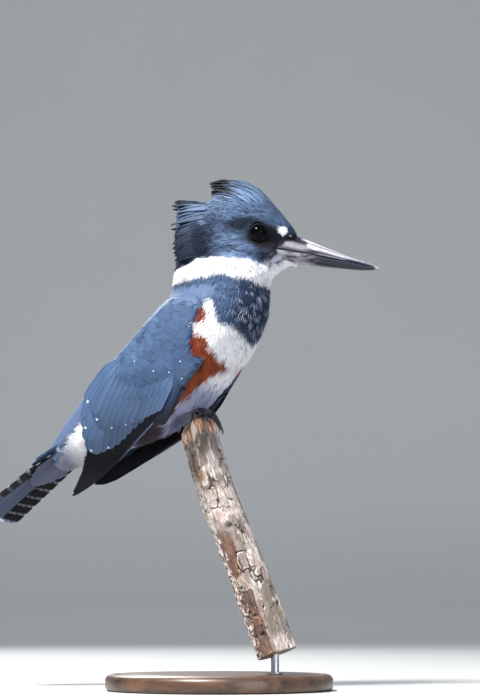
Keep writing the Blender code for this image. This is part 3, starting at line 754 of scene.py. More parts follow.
def read(tree, name, kind):
    """A named value of the geometry that flows through the tree."""
    return add(tree, "GeometryNodeInputNamedAttribute", {"Name": name}, data_type=kind).outputs[0]


def keep(tree, geometry, name, kind, value):
    """Stores a value on the points under a name."""
    return add(tree, "GeometryNodeStoreNamedAttribute",
               {"Geometry": geometry, "Name": name, "Value": value},
               data_type=kind, domain="POINT").outputs[0]


def coat_tree():
    tree, given, result = new_tree("plant_coat", [
        ("Tuft", "Object", None), ("Spacing", "Float", 0.0015), ("Shortest", "Float", 0.8),
        ("Longest", "Float", 1.1), ("Ruffle", "Float", 0.1), ("Seed", "Int", 1),
        ("Finish", "Material", None)])
    spacing, ruffle, seed = given["Spacing"], given["Ruffle"], given["Seed"]
    tight = sums(tree, "DIVIDE", 1.4, sums(tree, "MULTIPLY", spacing, spacing))
    points = add(tree, "GeometryNodeDistributePointsOnFaces", {
        "Mesh": given["Geometry"], "Distance Min": spacing, "Density Max": tight,
        "Density Factor": read(tree, "grow", "FLOAT"), "Seed": seed}, distribute_method="POISSON")
    position = add(tree, "GeometryNodeInputPosition").outputs[0]
    rooted = keep(tree, points.outputs["Points"], "root", "FLOAT_VECTOR", position)
    luck = add(tree, "FunctionNodeRandomValue", {"Seed": seed}, data_type="FLOAT")
    rooted = keep(tree, rooted, "chance", "FLOAT", luck.outputs[1])
    upright = add(tree, "FunctionNodeAxesToRotation", {
        "Primary Axis": points.outputs["Normal"], "Secondary Axis": read(tree, "lie", "FLOAT_VECTOR")},
        primary_axis="Z", secondary_axis="Y")
    least = add(tree, "ShaderNodeCombineXYZ", {0: sums(tree, "MULTIPLY", ruffle, -0.5),
                                               2: sums(tree, "MULTIPLY", ruffle, -1.6)})
    most = add(tree, "ShaderNodeCombineXYZ", {0: ruffle, 2: sums(tree, "MULTIPLY", ruffle, 1.6)})
    jitter = add(tree, "FunctionNodeRandomValue", {"Min": least.outputs[0], "Max": most.outputs[0]},
                 data_type="FLOAT_VECTOR")
    small_turn = add(tree, "FunctionNodeEulerToRotation", {0: jitter.outputs[0]})
    turned = add(tree, "FunctionNodeRotateRotation", {
        "Rotation": upright.outputs[0], "Rotate By": small_turn.outputs[0]}, rotation_space="LOCAL")
    size = add(tree, "FunctionNodeRandomValue", {2: given["Shortest"], 3: given["Longest"], "Seed": 7},
               data_type="FLOAT")
    size = sums(tree, "MULTIPLY", size.outputs[1], read(tree, "reach", "FLOAT"))
    shape = add(tree, "GeometryNodeObjectInfo", {"Object": given["Tuft"]})
    planted = add(tree, "GeometryNodeInstanceOnPoints", {
        "Points": rooted, "Instance": shape.outputs["Geometry"], "Rotation": turned.outputs[0],
        "Scale": size})
    solid = add(tree, "GeometryNodeRealizeInstances", {0: planted.outputs[0]})
    dressed = add(tree, "GeometryNodeSetMaterial", {"Geometry": solid.outputs[0],
                                                    "Material": given["Finish"]})
    tree.links.new(dressed.outputs[0], result[0])
    return tree


plant_coat = coat_tree()
print("coat tree:", len(plant_coat.nodes), "nodes")


# %% Run a tree on an object
def grown(obj, tree, name, **sizes):
    """The plain mesh that a tree makes of an object, with its inputs set by their identifiers."""
    step = obj.modifiers.new("grow", "NODES")
    step.node_group = tree
    for item in tree.interface.items_tree:
        if item.in_out == "INPUT" and item.name in sizes:
            step[item.identifier] = sizes[item.name]
    return new_object(name, worked_out(obj))


# %% [markdown]
# ## Planting the coat, region by region
# Each region has its own tuft, length and spacing. Nothing grows where the bill, the eyes and
# the feet are set in. After planting, every tuft is given the tone of its root, with its
# slivers a little lighter or darker than one another, which makes the fine streaks.


# %% Where the coat may grow
HORN_PARTS = ["bill_upper", "bill_lower", "foot_left", "foot_right", "shank_left", "shank_right", "perch"]
EYE_AHEAD, EYE_LEFT, EYE_HIGH, EYE_SIZE = 22.6, 13.4, 281.6, 6.0
clear_of_horn = soft(gap_to(HORN_PARTS, skin_at) / MM, 0.9, 1.7)
off_eye = np.hypot(skin_ahead - EYE_AHEAD, skin_high - EYE_HIGH)
clear_of_horn = clear_of_horn * np.where(np.abs(skin_left) > 8, soft(off_eye, 5.3, 5.9), 1)
skin_along, skin_turn, _ = round_body(skin_at)
skin_ahead, _, skin_high = in_head(skin_at)
back_line = np.interp(skin_along, *BACK_LINE)
off_wing = 1 - on_wing
below_collar = skin_along - np.interp(skin_turn, *COLLAR_END)
above = soft(skin_turn, back_line - 2, back_line + 2) * soft(below_collar, 2.5, 4.5)
headed = soft(skin_high, 263, 264.5)
keep_numbers(skin.data, "lie", lie, "FLOAT_VECTOR", "vector")
near_face = 1 - 0.45 * soft(skin_ahead, 20, 36) * headed
near_eye = 1 - 0.62 * fade(off_eye, 6.5, 12.5) * headed
off_spot = np.hypot(skin_ahead - SPOT_AHEAD, skin_high - SPOT_HIGH)
near_spot = 1 - 0.4 * fade(off_spot, 2.5, 5)
face_reach = near_face * near_eye * near_spot * (1 - 0.4 * soft(-skin_ahead, 18, 26))
everywhere = np.ones(len(skin_at))
print("bare points:", int(np.sum(clear_of_horn < 0.5)))


# %% Plant one region
PATCH = 0.003


def kept_on(mesh, name, field="value", wide=1):
    """The numbers that a mesh carries under a name."""
    return numbers_of(mesh.attributes[name].data, field, wide)


def lay_map(mesh, name, at):
    """A new map that gives each vertex its place."""
    corner = numbers_of(mesh.loops, "vertex_index", kind=np.int32)
    mesh.uv_layers.new(name=name).uv.foreach_set("vector", at[corner].astype(np.float32).ravel())


def coat_map(mesh):
    """A patch about 0.003 across for each tuft, at its root's place on the skin's map."""
    at = kept_on(mesh, "unfolded", "vector", 2)
    at = at + PATCH * (np.stack([kept_on(mesh, "strand"), kept_on(mesh, "along")], 1) - 0.5)
    for layer in list(mesh.uv_layers):
        mesh.uv_layers.remove(layer)
    lay_map(mesh, "OFBake", at)


def plant(name, tuft, grow, reach, spacing, shortest, longest, ruffle, seed, finish, contrast,
          course=None, dark_from=0.7):
    """Grows one region of the coat and gives each tuft its tone and its patch of the map."""
    keep_numbers(skin.data, "grow", grow * clear_of_horn)
    keep_numbers(skin.data, "reach", reach)
    coat = grown(skin, plant_coat, name, Tuft=tuft, Spacing=spacing * MM, Shortest=shortest,
                 Longest=longest, Ruffle=ruffle, Seed=seed, Finish=finish)
    mesh = coat.data
    each = len(tuft.data.vertices)
    root = kept_on(mesh, "root", "vector", 3)[::each].astype(float) / MM
    chance = kept_on(mesh, "chance")[::each].astype(float)
    wing = np.full(len(root), float(name.startswith("wing")))
    tone = late_marks(plumage(root, wing, chance), root, wing)
    wave = np.sin(kept_on(mesh, "strand") * 9.1 + np.repeat(chance, each) * 40.0)
    tone = np.repeat(tone, each, axis=0) * (1 + contrast * wave)[:, None]
    if course:
        at, dark = course(root, chance, places(tuft.data), places(mesh))
        place(mesh, at)
        tip = soft(kept_on(mesh, "along"), dark_from, dark_from + 0.25)
        tone = cover(tone, JET * 1.5, np.repeat(dark, each) * tip)
    keep_tone(mesh, tone)
    coat_map(mesh)
    for extra in ("root", "chance", "lie", "grow", "reach", "unfolded"):
        if extra in mesh.attributes:
            mesh.attributes.remove(mesh.attributes[extra])
    mesh.shade_smooth()
    mesh.set_sharp_from_angle(angle=math.radians(100))
    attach(coat, "root")
    faces = sum(len(p.vertices) - 2 for p in tuft.data.polygons) * len(root)
    print(f"{name}: {len(root)} tufts, {faces} triangles")


unfolded = numbers_of(skin.data.uv_layers["OFBake"].uv, "vector", 2)
skin.data.uv_layers.new(name="unfolded").uv.foreach_set("vector", unfolded.ravel())
skin.data.uv_layers.active = skin.data.uv_layers["OFBake"]

# %% The head and neck
crown_part = headed * soft(skin_high, 279, 280) * off_wing
cheek_part = headed * fade(skin_high, 279, 280) * off_wing
plant("coat_crown", face_tuft, crown_part, face_reach, 0.85, 0.8, 1.25, 0.14, 11, down_finish, 0.4)
plant("coat_cheeks", face_tuft, cheek_part, face_reach, 0.85, 0.8, 1.2, 0.14, 12, down_finish, 0.4)
neck_part = (1 - headed) * fade(skin_along, 25, 27) * off_wing * (1 - above)
collar_edge = fade(np.abs(below_collar), 2, 5)
neck_reach = (1 - 0.6 * soft(skin_ahead, 26, 40)) * (1 - 0.4 * collar_edge)
plant("coat_neck", neck_tuft, neck_part, neck_reach, 0.95, 0.8, 1.2, 0.2, 13, down_finish, 0.10)

# %% The breast, belly and vent
under = (1 - above) * off_wing * soft(skin_along, 21, 23)
breast_part = under * fade(skin_along, 60, 62)
plant("coat_breast", breast_tuft, breast_part, everywhere, 1.05, 0.8, 1.2, 0.2, 14, down_finish, 0.16)
belly_part = under * soft(skin_along, 60, 62) * fade(skin_along, 122, 124)
plant("coat_belly", belly_tuft, belly_part, everywhere, 1.2, 0.8, 1.2, 0.2, 15, down_finish, 0.12)
vent_part = under * soft(skin_along, 122, 124)
plant("coat_vent", neck_tuft, vent_part, everywhere, 0.95, 0.8, 1.1, 0.04, 16, down_finish, 0.04)

# %% [markdown]
# The sleek feathers of the back and wings lie flat, each tip just proud of the root behind it.
# So each leaf, once planted, is pressed down on to the skin and keeps only a slight rise from
# its root to its tip, which is what puts every tip over its neighbour.


# %% Press leaves on to the skin
skin_search = search_of([skin.data])


def pressed(root, chance, local, at):
    """Each leaf's points laid on the skin, rising from 0.15 at the root to 0.65 at the tip."""
    rise = 0.15 + 0.50 * local[:, 1] / local[:, 1].max() + local[:, 2]
    rise = np.tile(rise, len(root)) + np.repeat(0.05 * np.sin(chance * 91), len(local))
    laid = np.empty_like(at)
    for k, point in enumerate(at):
        near, out, _, _ = skin_search.find_nearest(Vector(point) * MM)
        laid[k] = np.array(near) / MM + np.array(out) * rise[k]
    return laid, np.zeros(len(root))


# %% The back, rump and wings
mantle_part = above * off_wing * fade(skin_along, 106, 108) * (1 - headed)
plant("coat_mantle", mantle_leaf, mantle_part, everywhere, 1.9, 0.8, 1.15, 0.03, 17, sleek_finish, 0.08,
      pressed)
rump_part = above * off_wing * soft(skin_along, 106, 108)
plant("coat_rump", mantle_leaf, rump_part, 1.15 * everywhere, 1.8, 0.9, 1.2, 0.03, 18, sleek_finish, 0.04,
      pressed)
for (side, sign), seed in zip(SIDES.items(), (19, 20)):
    wing_part = on_wing * (skin_at[:, 1] * sign > 0)
    plant(f"wing_coat_{side}", wing_leaf, wing_part, everywhere, 2.3, 0.85, 1.1, 0.03, seed,
          sleek_finish, 0.03, pressed)

# %% [markdown]
# ## Flight feathers
# A flight feather is one long vane on a curved shaft. Each is made as a thin closed sheet: a
# grid of points laid out along the shaft and across the vane, given a little thickness. The
# sheet keeps a map in centimetres from its own shaft and tip, so that its finish can draw the
# shaft and the barbs at their real sizes on a long feather and a short one alike.


# %% A closed sheet from a grid of points
def closed_sheet(grid, out, thick):
    """Vertices and four-sided faces of a thin closed sheet laid about a grid of points."""
    rows, cols = grid.shape[:2]
    half = thick[..., None] / 2
    verts = np.concatenate([(grid + out * half).reshape(-1, 3), (grid - out * half).reshape(-1, 3)])
    count = rows * cols
    one = np.arange(count).reshape(rows, cols)
    two = one + count
    top = np.stack([one[:-1, :-1], one[1:, :-1], one[1:, 1:], one[:-1, 1:]], -1).reshape(-1, 4)
    low = np.stack([two[:-1, :-1], two[:-1, 1:], two[1:, 1:], two[1:, :-1]], -1).reshape(-1, 4)
    rim = np.concatenate([one[0, :-1], one[:-1, -1], one[-1, :0:-1], one[:0:-1, 0]])
    ahead = np.roll(rim, -1)
    sides = np.stack([rim, ahead, ahead + count, rim + count], -1)
    faces = np.concatenate([top, low, sides])
    a, b, c = (verts[top[0, k]] for k in range(3))
    if np.dot(np.cross(b - a, c - b), out.reshape(-1, 3)[0]) < 0:
        faces = faces[:, ::-1]
    return verts, faces


def sheaf(name, vanes, finish, slot, *nodes):
    """One mesh from many sheets, each with its own cell of the bake map."""
    verts, faces, cm, cell, tone = [], [], [], [], []
    base = 0
    wide = math.ceil(math.sqrt(len(vanes)))
    for k, vane in enumerate(vanes):
        v, f = closed_sheet(vane["grid"], vane["out"], vane["thick"])
        verts.append(v)
        faces.append(f + base)
        base += len(v)
        cm.append(np.tile(vane["cm"].reshape(-1, 2), (2, 1)))
        unit_place = np.tile(vane["unit"].reshape(-1, 2), (2, 1))
        under = np.repeat([0.0, 0.5], len(unit_place) // 2)
        part = np.stack([0.03 + 0.44 * unit_place[:, 0] + under, 0.03 + 0.94 * unit_place[:, 1]], 1)
        cell.append((np.array([k % wide, k // wide]) + part) / wide)
        tone.append(np.tile(vane["tone"].reshape(-1, 3), (2, 1)))
    mesh = bpy.data.meshes.new(name)
    verts = np.concatenate(verts) * MM
    mesh.from_pydata(verts.tolist(), [], np.concatenate(faces).tolist())
    lay_map(mesh, "OFBake", np.concatenate(cell))
    lay_map(mesh, "vane", np.concatenate(cm))
    keep_tone(mesh, np.concatenate(tone))
    mesh.shade_smooth()
    mesh.set_sharp_from_angle(angle=math.radians(50))
    hand_in(new_object(name, mesh), finish, slot, *nodes)
    print(f"{name}: {len(vanes)} feathers, {2 * len(mesh.polygons)} triangles")


# %% [markdown]
# The finish of a vane reads that map: a dark, raised shaft and barbs that slant away from it.
# The tone on the mesh carries the pale fringes, the bars, the dark tips and the white ones.


# %% The vane's finish
def vane_finish(name, gloss, shaft_share, shine):
    made, tree, shader = finish_of(name)
    at = add(tree, "ShaderNodeUVMap", uv_map="vane")
    split = add(tree, "ShaderNodeSeparateXYZ", {0: at.outputs[0]})
    across = sums(tree, "ABSOLUTE", split.outputs[0])
    slant = sums(tree, "MULTIPLY_ADD", across, 0.9, split.outputs[1])
    where = add(tree, "ShaderNodeCombineXYZ", {0: sums(tree, "MULTIPLY", slant, 26.0), 1: across})
    barbs = noise_of(tree, where.outputs[0], 1.6, 3.0, 0.6)
    shaft = sums(tree, "LESS_THAN", across, 0.028)
    shade = sums(tree, "MULTIPLY_ADD", shaft, -shaft_share, varied(tree, barbs, 0.55, 1.0))
    height = sums(tree, "MULTIPLY_ADD", shaft, 1.2, barbs)
    give(shader, {"Base Color": own_tone(tree, shade), "Roughness": gloss, "Specular IOR Level": shine,
                  "Normal": bump_of(tree, height, 0.35, 0.0003)})
    return made


wing_finish = vane_finish("wing_vane", 0.50, 0.35, 0.22)
dark_finish = vane_finish("dark_vane", 0.55, 0.30, 0.06)
tail_finish = vane_finish("tail_vane", 0.60, 0.45, 0.05)

# %% [markdown]
# ## The folded wings
# The carved wing's outer face is read as a smooth field over its side view. Feathers are laid
# out in that side view, each along a bent line from root to tip, and take their distance from
# the field, so that they curve round the body. Each one's lower edge lies over the next one
# down, and the long tertials lie over all, as they do when a bird folds its wing.


# %% How far out the wing's face stands
FACE_STEP = 2.0
FACE_X = np.arange(-116.0, 30.0, FACE_STEP)
FACE_Z = np.arange(104.0, 262.0, FACE_STEP)


def wing_face(side):
    """The outer face of a carved wing as a smooth field over x and z."""
    groups = ("coverts", "secondaries", "primaries")
    search = search_carved([f"wing_{group}_{side}" for group in groups])
    sign = SIDES[side]
    field = np.full((len(FACE_X), len(FACE_Z)), np.nan)
    for i, x in enumerate(FACE_X):
        for j, z in enumerate(FACE_Z):
            hit = search.ray_cast(Vector((x, sign * 90, z)) * MM, Vector((0, -sign, 0)))[0]
            if hit is not None:
                field[i, j] = abs(hit.y) / MM
    for _ in range(90):
        open_border = np.pad(field, 1, constant_values=np.nan)
        shifts = [open_border[a:a + field.shape[0], b:b + field.shape[1]]
                  for a in range(3) for b in range(3)]
        stack = np.array(shifts)
        known = ~np.isnan(stack)
        mean = np.where(known, stack, 0).sum(0) / np.maximum(known.sum(0), 1)
        empty = np.isnan(field)
        field = np.where(empty & (known.sum(0) > 0), mean, field)
    for _ in range(6):
        ring = np.pad(field, 1, mode="edge")
        field = (ring[:-2, 1:-1] + ring[2:, 1:-1] + ring[1:-1, :-2] + ring[1:-1, 2:] + 2 * field) / 6
    return field


def face_at(field, x, z):
    """The field read between its points."""
    i = np.clip((x - FACE_X[0]) / FACE_STEP, 0, len(FACE_X) - 1.001)
    j = np.clip((z - FACE_Z[0]) / FACE_STEP, 0, len(FACE_Z) - 1.001)
    a = i.astype(int)
    b = j.astype(int)
    u = i - a
    v = j - b
    low = field[a, b] * (1 - u) + field[a + 1, b] * u
    high = field[a, b + 1] * (1 - u) + field[a + 1, b + 1] * u
    return low * (1 - v) + high * v


wing_faces = {side: wing_face(side) for side in SIDES}
print("wing stands out up to", round(float(np.nanmax(wing_faces["right"])), 1), "mm")


# %% One feather of the wing
def vane_rows(count, long, half):
    """Steps along a feather, closer near its rounded tip."""
    body = np.linspace(0, 1 - half / long, count - 6, endpoint=False)
    tip = 1 - half / long * (1 - np.sin(np.linspace(0, math.pi / 2, 6)))
    return np.concatenate([body, tip])


def vane_outline(t, long, half, root_share=0.30, taper=0.0):
    """The share of its half width that a feather has at steps along it."""
    from_tip = np.clip((1 - t) * long / half, 0, 1)
    rounded = np.sqrt(np.clip(1 - (1 - from_tip) ** 2, 0.002, 1))
    pointed = np.clip((1 - t) * long / max(taper, 0.1), 0.002, 1) ** 0.55
    return rounded * pointed * (root_share + (1 - root_share) * soft(t, 0, 0.35))


def shifted(side, x, z):
    """A place in the right wing's layout, on either wing: the left is folded a little forward."""
    if side == "right":
        return x, z
    lift = math.radians(1.2)
    dx = x + 25
    dz = z - 180
    return (dx * math.cos(lift) + dz * math.sin(lift) - 20,
            -dx * math.sin(lift) + dz * math.cos(lift) + 183.6)


def vane_of(grid, out, t, v, reach, long, thick, thinning, tone_rule):
    """A feather from its grid of points: how thick it is, its two flat maps and its tone."""
    full = np.ones((len(t), len(v)))
    from_tip = (1 - t)[:, None] * long * full
    return dict(grid=grid, out=out, thick=thick * (1 - thinning * np.abs(v)) * full,
                cm=np.stack([reach[:, None] * v / 10, from_tip / 10], -1),
                unit=np.stack([(v + 1) / 2 * full, t[:, None] * full], -1),
                tone=tone_rule(v * full, from_tip))


def wing_vane(side, line, half, layer, tone_rule, tilt=0.22, rows=16, sink=1.1, taper=0.0):
    """A feather on the wing along a bent line in side view, with its tone from a rule."""
    root, bend, tip = np.array(line, float)
    long = float(np.linalg.norm(tip - root))
    t = vane_rows(rows, long, half)
    line = ((1 - t) ** 2)[:, None] * root + (2 * t * (1 - t))[:, None] * bend + (t * t)[:, None] * tip
    way = unit(np.gradient(line, t, axis=0))
    v = np.linspace(-1, 1, 9)
    reach = half * vane_outline(t, long, half, taper=taper)
    x = line[:, 0:1] - way[:, 1:2] * reach[:, None] * v
    z = line[:, 1:2] + way[:, 0:1] * reach[:, None] * v
    x, z = shifted(side, x, z)
    sign = SIDES[side]
    share = reach[:, None] / half
    lay = layer + tilt * v * share + 0.10 * (1 - v * v) * share - sink * fade(t, 0.05, 0.40)[:, None]
    grid = np.stack([x, sign * (face_at(wing_faces[side], x, z) + lay), z], -1)
    out = np.zeros_like(grid)
    out[..., 1] = sign
    return vane_of(grid, out, t, v, reach, long, 0.24, 0.55, tone_rule)


# %% Tones of the wing's feathers
UNDER_GREY = np.array([0.062, 0.078, 0.125])


def slate_vane(light, tip_white, tip_dark=0.0):
    """A slate vane: darker inner web, a paler lower fringe and a small white or dark tip."""
    def rule(v, from_tip):
        tone = painted(v, SLATE * light)
        tone = cover(tone, DEEP_SLATE * 1.6, 0.40 * soft(-v, 0.45, 1.0))
        tone = cover(tone, PALE_SLATE, 0.22 * min(light, 1) ** 2 * soft(v, 0.5, 0.95))
        tone = cover(tone, JET * 2, tip_dark * fade(from_tip, 3, 20))
        near = np.hypot(from_tip - 0.6, 2.6 * (v - 0.15))
        return cover(tone, WHITE, tip_white * fade(near, 0.45, 0.95))
    return rule


def jet_vane(light, fringe):
    """A blackish primary, greyer towards its root, with a thin pale outer fringe on some."""
    def rule(v, from_tip):
        tone = painted(v, JET * light)
        tone = cover(tone, DEEP_SLATE, 0.4 * soft(from_tip, 60, 80))
        lit = soft(from_tip, 30, 40) * fade(from_tip, 66, 78)
        return cover(tone, UNDER_GREY * 2.2, fringe * soft(v, 0.70, 0.95) * lit)
    return rule


# %% [markdown]
# The layouts below are each a root line, a bend line and a tip line, from the uppermost
# feather to the lowest. Reading them at even steps gives every feather of the group.


# %% Feathers of each wing
PRIMARIES = {"right": [(-26, 190, -40, 182, -80, 149), (-18, 190, -34, 176, -85, 140),
                       (-14, 188, -34, 170, -91, 130), (-14, 185, -36, 163.5, -96, 120)],
             "left": [(-26, 190, -40, 182, -80, 149), (-18, 190, -34, 175, -84, 140),
                      (-12, 192, -28, 169, -88, 131), (-8, 192, -25, 161, -90.5, 123)]}
SECONDARIES = [(-52, 203, -69, 194.5, -77.5, 177), (-54, 203, -70, 186, -79.5, 162),
               (-50, 198, -66, 176, -77.5, 145.5), (-44, 194, -58, 172, -65, 149.5),
               (-38, 190, -49, 174, -52, 157.5), (-30, 188, -36, 176, -39.5, 167)]
GREATER = [(-55, 198, -67, 186, -73, 170), (-48, 190, -60, 177, -66.5, 160),
           (-38, 187, -48, 175, -54, 161.5), (-28, 188, -36, 178, -41, 166.5),
           (-18, 192, -24, 181, -31, 170.5)]
HAND = [(-20, 199, -25, 186, -32, 166), (-15, 200, -20, 187, -31, 162), (-10, 200, -15, 188, -28, 162)]

FLECKS = [(-28, 184), (-31, 182), (-20, 193), (-13, 199.5), (-43, 200.5), (-30, 194), (-12, 189)]


def white_fleck(v, from_tip):
    """The tiny white tip that a few of the small coverts carry."""
    return painted(v, WHITE)


def laid_out(rows, count):
    """The root, the bend and the tip of each feather of a group."""
    return spread(rows, count).reshape(count, 3, 2)


def feathered_wing(side, seed):
    chance = np.random.default_rng(seed)
    half, taper = (3.8, 16.0) if side == "right" else (4.6, 8.0)
    primaries, blues, greater = [], [], []
    for k, line in enumerate(laid_out(PRIMARIES[side], 10)):
        rule = jet_vane(1.0 + 0.3 * chance.random(), 0.85 if k == 9 else 0.05)
        primaries.append(wing_vane(side, line, half, -0.55 - 0.07 * k, rule, rows=26, taper=taper))
    for k, line in enumerate(laid_out(HAND, 5)):
        rule = slate_vane(0.82 - 0.12 * k, 0.0, 0.95)
        primaries.append(wing_vane(side, line, 4.2, -0.25 - 0.08 * k, rule, sink=1.8))
    for k, line in enumerate(laid_out(SECONDARIES, 15)):
        white_tip = 1.0 if k in (0, 3, 5, 8) else 0.0
        rule = slate_vane(1.05 + 0.20 * chance.random() - 0.02 * k, white_tip)
        blues.append(wing_vane(side, line, 4.4, 0.45 - 0.06 * k, rule, rows=22))
    for k, line in enumerate(laid_out(GREATER, 12)):
        rule = slate_vane(0.86 + 0.16 * chance.random(), 1.0 if k in (1, 4, 6, 7, 8, 9, 10) else 0.0)
        greater.append(wing_vane(side, line, 4.3, 0.85 - 0.02 * k, rule))
    for x, z in FLECKS:
        line = [(x + 0.6, z + 1.0), (x + 0.3, z + 0.5), (x, z)]
        greater.append(wing_vane(side, line, 0.34, -0.30, white_fleck, tilt=0.05, sink=0.5))
    sheaf(f"primaries_{side}", primaries, dark_finish, "black_feather", f"wing_primaries_{side}")
    sheaf(f"secondaries_{side}", blues, wing_finish, "slate_feather", f"wing_secondaries_{side}")
    sheaf(f"greater_coverts_{side}", greater, wing_finish, "slate_feather")


for side, seed in zip(SIDES, (31, 32)):
    feathered_wing(side, seed)

# %% [markdown]
# Under the flight feathers lies the wing's own body. A slimmed shell of the carved wing fills
# that place, so that no daylight shows between the feathers from above or behind.


# %% The wing's body under its feathers
def wing_body(side):
    names = [f"wing_secondaries_{side}", f"wing_primaries_{side}"]
    core = rebuilt(f"wing_body_{side}", merged_copy(names, 0.2), 0.8, 6)
    at = places(core.data)
    drawn = at - outward(core.data) * np.array([1.3, 0.4, 1.3])
    drawn[:, 1] -= np.sign(at[:, 1]) * 1.9
    place(core.data, drawn)
    line = soft(drawn[:, 2] - 0.60 * drawn[:, 0] - 0.15 * np.abs(drawn[:, 1]), 178, 186)
    keep_tone(core.data, cover(painted(line, SLATE * 0.5), JET, 1 - line))
    core.data.shade_smooth()
    hand_in(unfold(core), sleek_finish, "black_feather")
    print(core.name, "faces:", len(core.data.polygons))


for side in SIDES:
    wing_body(side)

# %% [markdown]
# ## The tail
# Twelve feathers fold over one another, the middle pair on top and the outer pair lowest. The
# middle pair is slate with a dark shaft and dark spots. The others are black, the two outer
# pairs with pale bars that turn white at the edge, and every tip is pale. All of them are laid
# in the tail's own flat space and then turned into place.


# %% Tail feathers
UNDER_COVERT = np.array([0.085, 0.095, 0.150])
BAR_GREY = np.array([0.150, 0.160, 0.200])
TAIL_ROOT = np.array([-92, 0, 153.9])
TAIL_TURN = np.array(Matrix.Rotation(math.radians(-36.6), 3, "Y")
                     @ Matrix.Rotation(math.radians(-9.5), 3, "X"))


def barred_vane(order, outer):
    """The outer pairs are black with pale bars; the webs of the inner ones are plain grey below."""
    def rule(v, from_tip):
        w = v * outer
        tone = painted(v, JET)
        if order < 4:
            tone = cover(tone, UNDER_GREY, soft(-w, -0.5, -0.2))
            return cover(tone, WHITE, fade(from_tip, 0.6, 1.6))
        beat = np.cos(2 * math.pi * (from_tip - 1.2 - 1.5 * w) / 8.0)
        bars = soft(beat, 0.80 - 0.10 * np.clip(w, -1, 1), 0.97)
        tone = cover(tone, BAR_GREY, 0.85 * bars)
        tone = cover(tone, WHITE * 0.8, bars * soft(w, 0.75, 0.95))
        return cover(tone, UNDER_GREY * 3, 0.9 - 0.9 * soft(from_tip, 0.8, 2.0))
    return rule


def middle_vane(v, from_tip):
    tone = painted(v, SLATE)
    beat = np.cos(2 * math.pi * (from_tip - 1.2) / 5.6)
    tone = cover(tone, JET * 2, soft(beat, 0.5, 0.8) * fade(np.abs(v), 0.35, 0.6))
    tone = cover(tone, JET * 2, 0.8 * fade(np.abs(v), 0.05, 0.16))
    return cover(tone, WHITE, fade(from_tip, 0.5, 1.4))


def on_tail(t, v, centre, long, half, ahead_by, lift, tone_rule):
    """A feather along a middle line in the tail's flat space, turned into the tail's place."""
    reach = half * vane_outline(t, long, half, 0.6)
    y = centre[:, None] + reach[:, None] * v
    x = -long * t[:, None] * np.ones(len(v)) - 1.0 + ahead_by
    z = 2.2 * (1 - (y / 24) ** 2) + 0.4 + lift
    grid = np.stack([x, y, z], -1) @ TAIL_TURN.T + TAIL_ROOT
    out = np.ones_like(grid) * TAIL_TURN[:, 2]
    return vane_of(grid, out, t, v, reach, long, 0.34, 0.5, tone_rule)


def tail_vane(order, side):
    """One tail feather, `order` steps out from the middle, on one side."""
    long = 80.0 - 0.9 * order
    half = 5.4
    t = vane_rows(58, long, half)
    v = np.linspace(-1, 1, 9)
    at_root = side * (1.2 + 2.1 * order)
    at_tip = side * (2.6 + 3.45 * order)
    rule = middle_vane if order == 0 else barred_vane(order, side)
    lift = -0.42 * order - 0.22 * v * side
    return on_tail(t, v, at_root + (at_tip - at_root) * t, long, half, 0, lift, rule)


def tail_cover(across, long, up, half, colour, ahead_by):
    """A short feather that covers the tail's base, above it or below."""
    t = vane_rows(22, long, half)
    v = np.linspace(-1, 1, 7)
    return on_tail(t, v, across * (0.75 + 0.35 * t), long, half, ahead_by, up + 0.10 * (1 - v * v),
                   lambda web, from_tip: painted(web, colour) * (1 + 0.12 * web[..., None]))


tail_feathers = [tail_vane(order, side) for order in range(6) for side in (-1, 1)]
tail_covers = [tail_cover(x, 42 - 0.04 * x**2, 0.9 - 0.05 * abs(x), 4.4, LAVENDER, -8)
               for x in (-11, 11, -8, 8, -5, 5, -2.2, 2.2, 0.1)]
# Painted light: the side coverts are paler than the back, so that their shaded undersides, which face the
# camera, still look lit.
tail_covers += [tail_cover(x, 46 - 1.5 * abs(x), 0.4, 4.0, PALE_SLATE * 1.1, -6)
                for x in (-18.5, 18.5, -15, 15)]
tail_covers += [tail_cover(x, 34 - 0.08 * x**2, -3.6 + 0.05 * abs(x), 4.4, UNDER_COVERT, -8)
                for x in (-12, 12, -9, 9, -6, 6, -3, 3, 0.1)]
sheaf("tail_coverts", tail_covers, tail_finish, "slate_feather")
sheaf("tail", tail_feathers, tail_finish, "black_feather", "tail_left", "tail_middle", "tail_right")

# %% [markdown]
# ## The crest
# The crest is two ragged tufts of narrow plumes. One rises from the forehead and crown and
# ends in dark points over the eye's rear; the other ends level behind it. A longer pointed
# leaf is planted with the same tree, and its length is set so that the tips end together.


# %% Plumes of the crest
PLUME_LONG = 10
FRONT_LOCKS = [(-7.6, 301.4), (-5.0, 303.0), (-6.2, 304.8), (-4.2, 306.6), (-6.8, 308.6), (-4.6, 310.6),
               (-7.4, 312.4), (-8.8, 314.4), (-6.0, 315.4)]
REAR_LOCKS = [(-28.6 - 2.0 * math.sin(2.3 * k) - 1.2 * math.sin(5.1 * k), 264.6 + 2.5 * k)
              for k in range(15)] + [(-27.6, 301.8), (-29.2, 303.0)]


def nearest_lock(locks, aimed):
    """The lock of plumes whose tip is nearest in height."""
    locks = np.array(locks)
    chosen = locks[np.argmin(np.abs(aimed[:, None] - locks[None, :, 1]), axis=1)]
    return chosen[:, 0], chosen[:, 1]


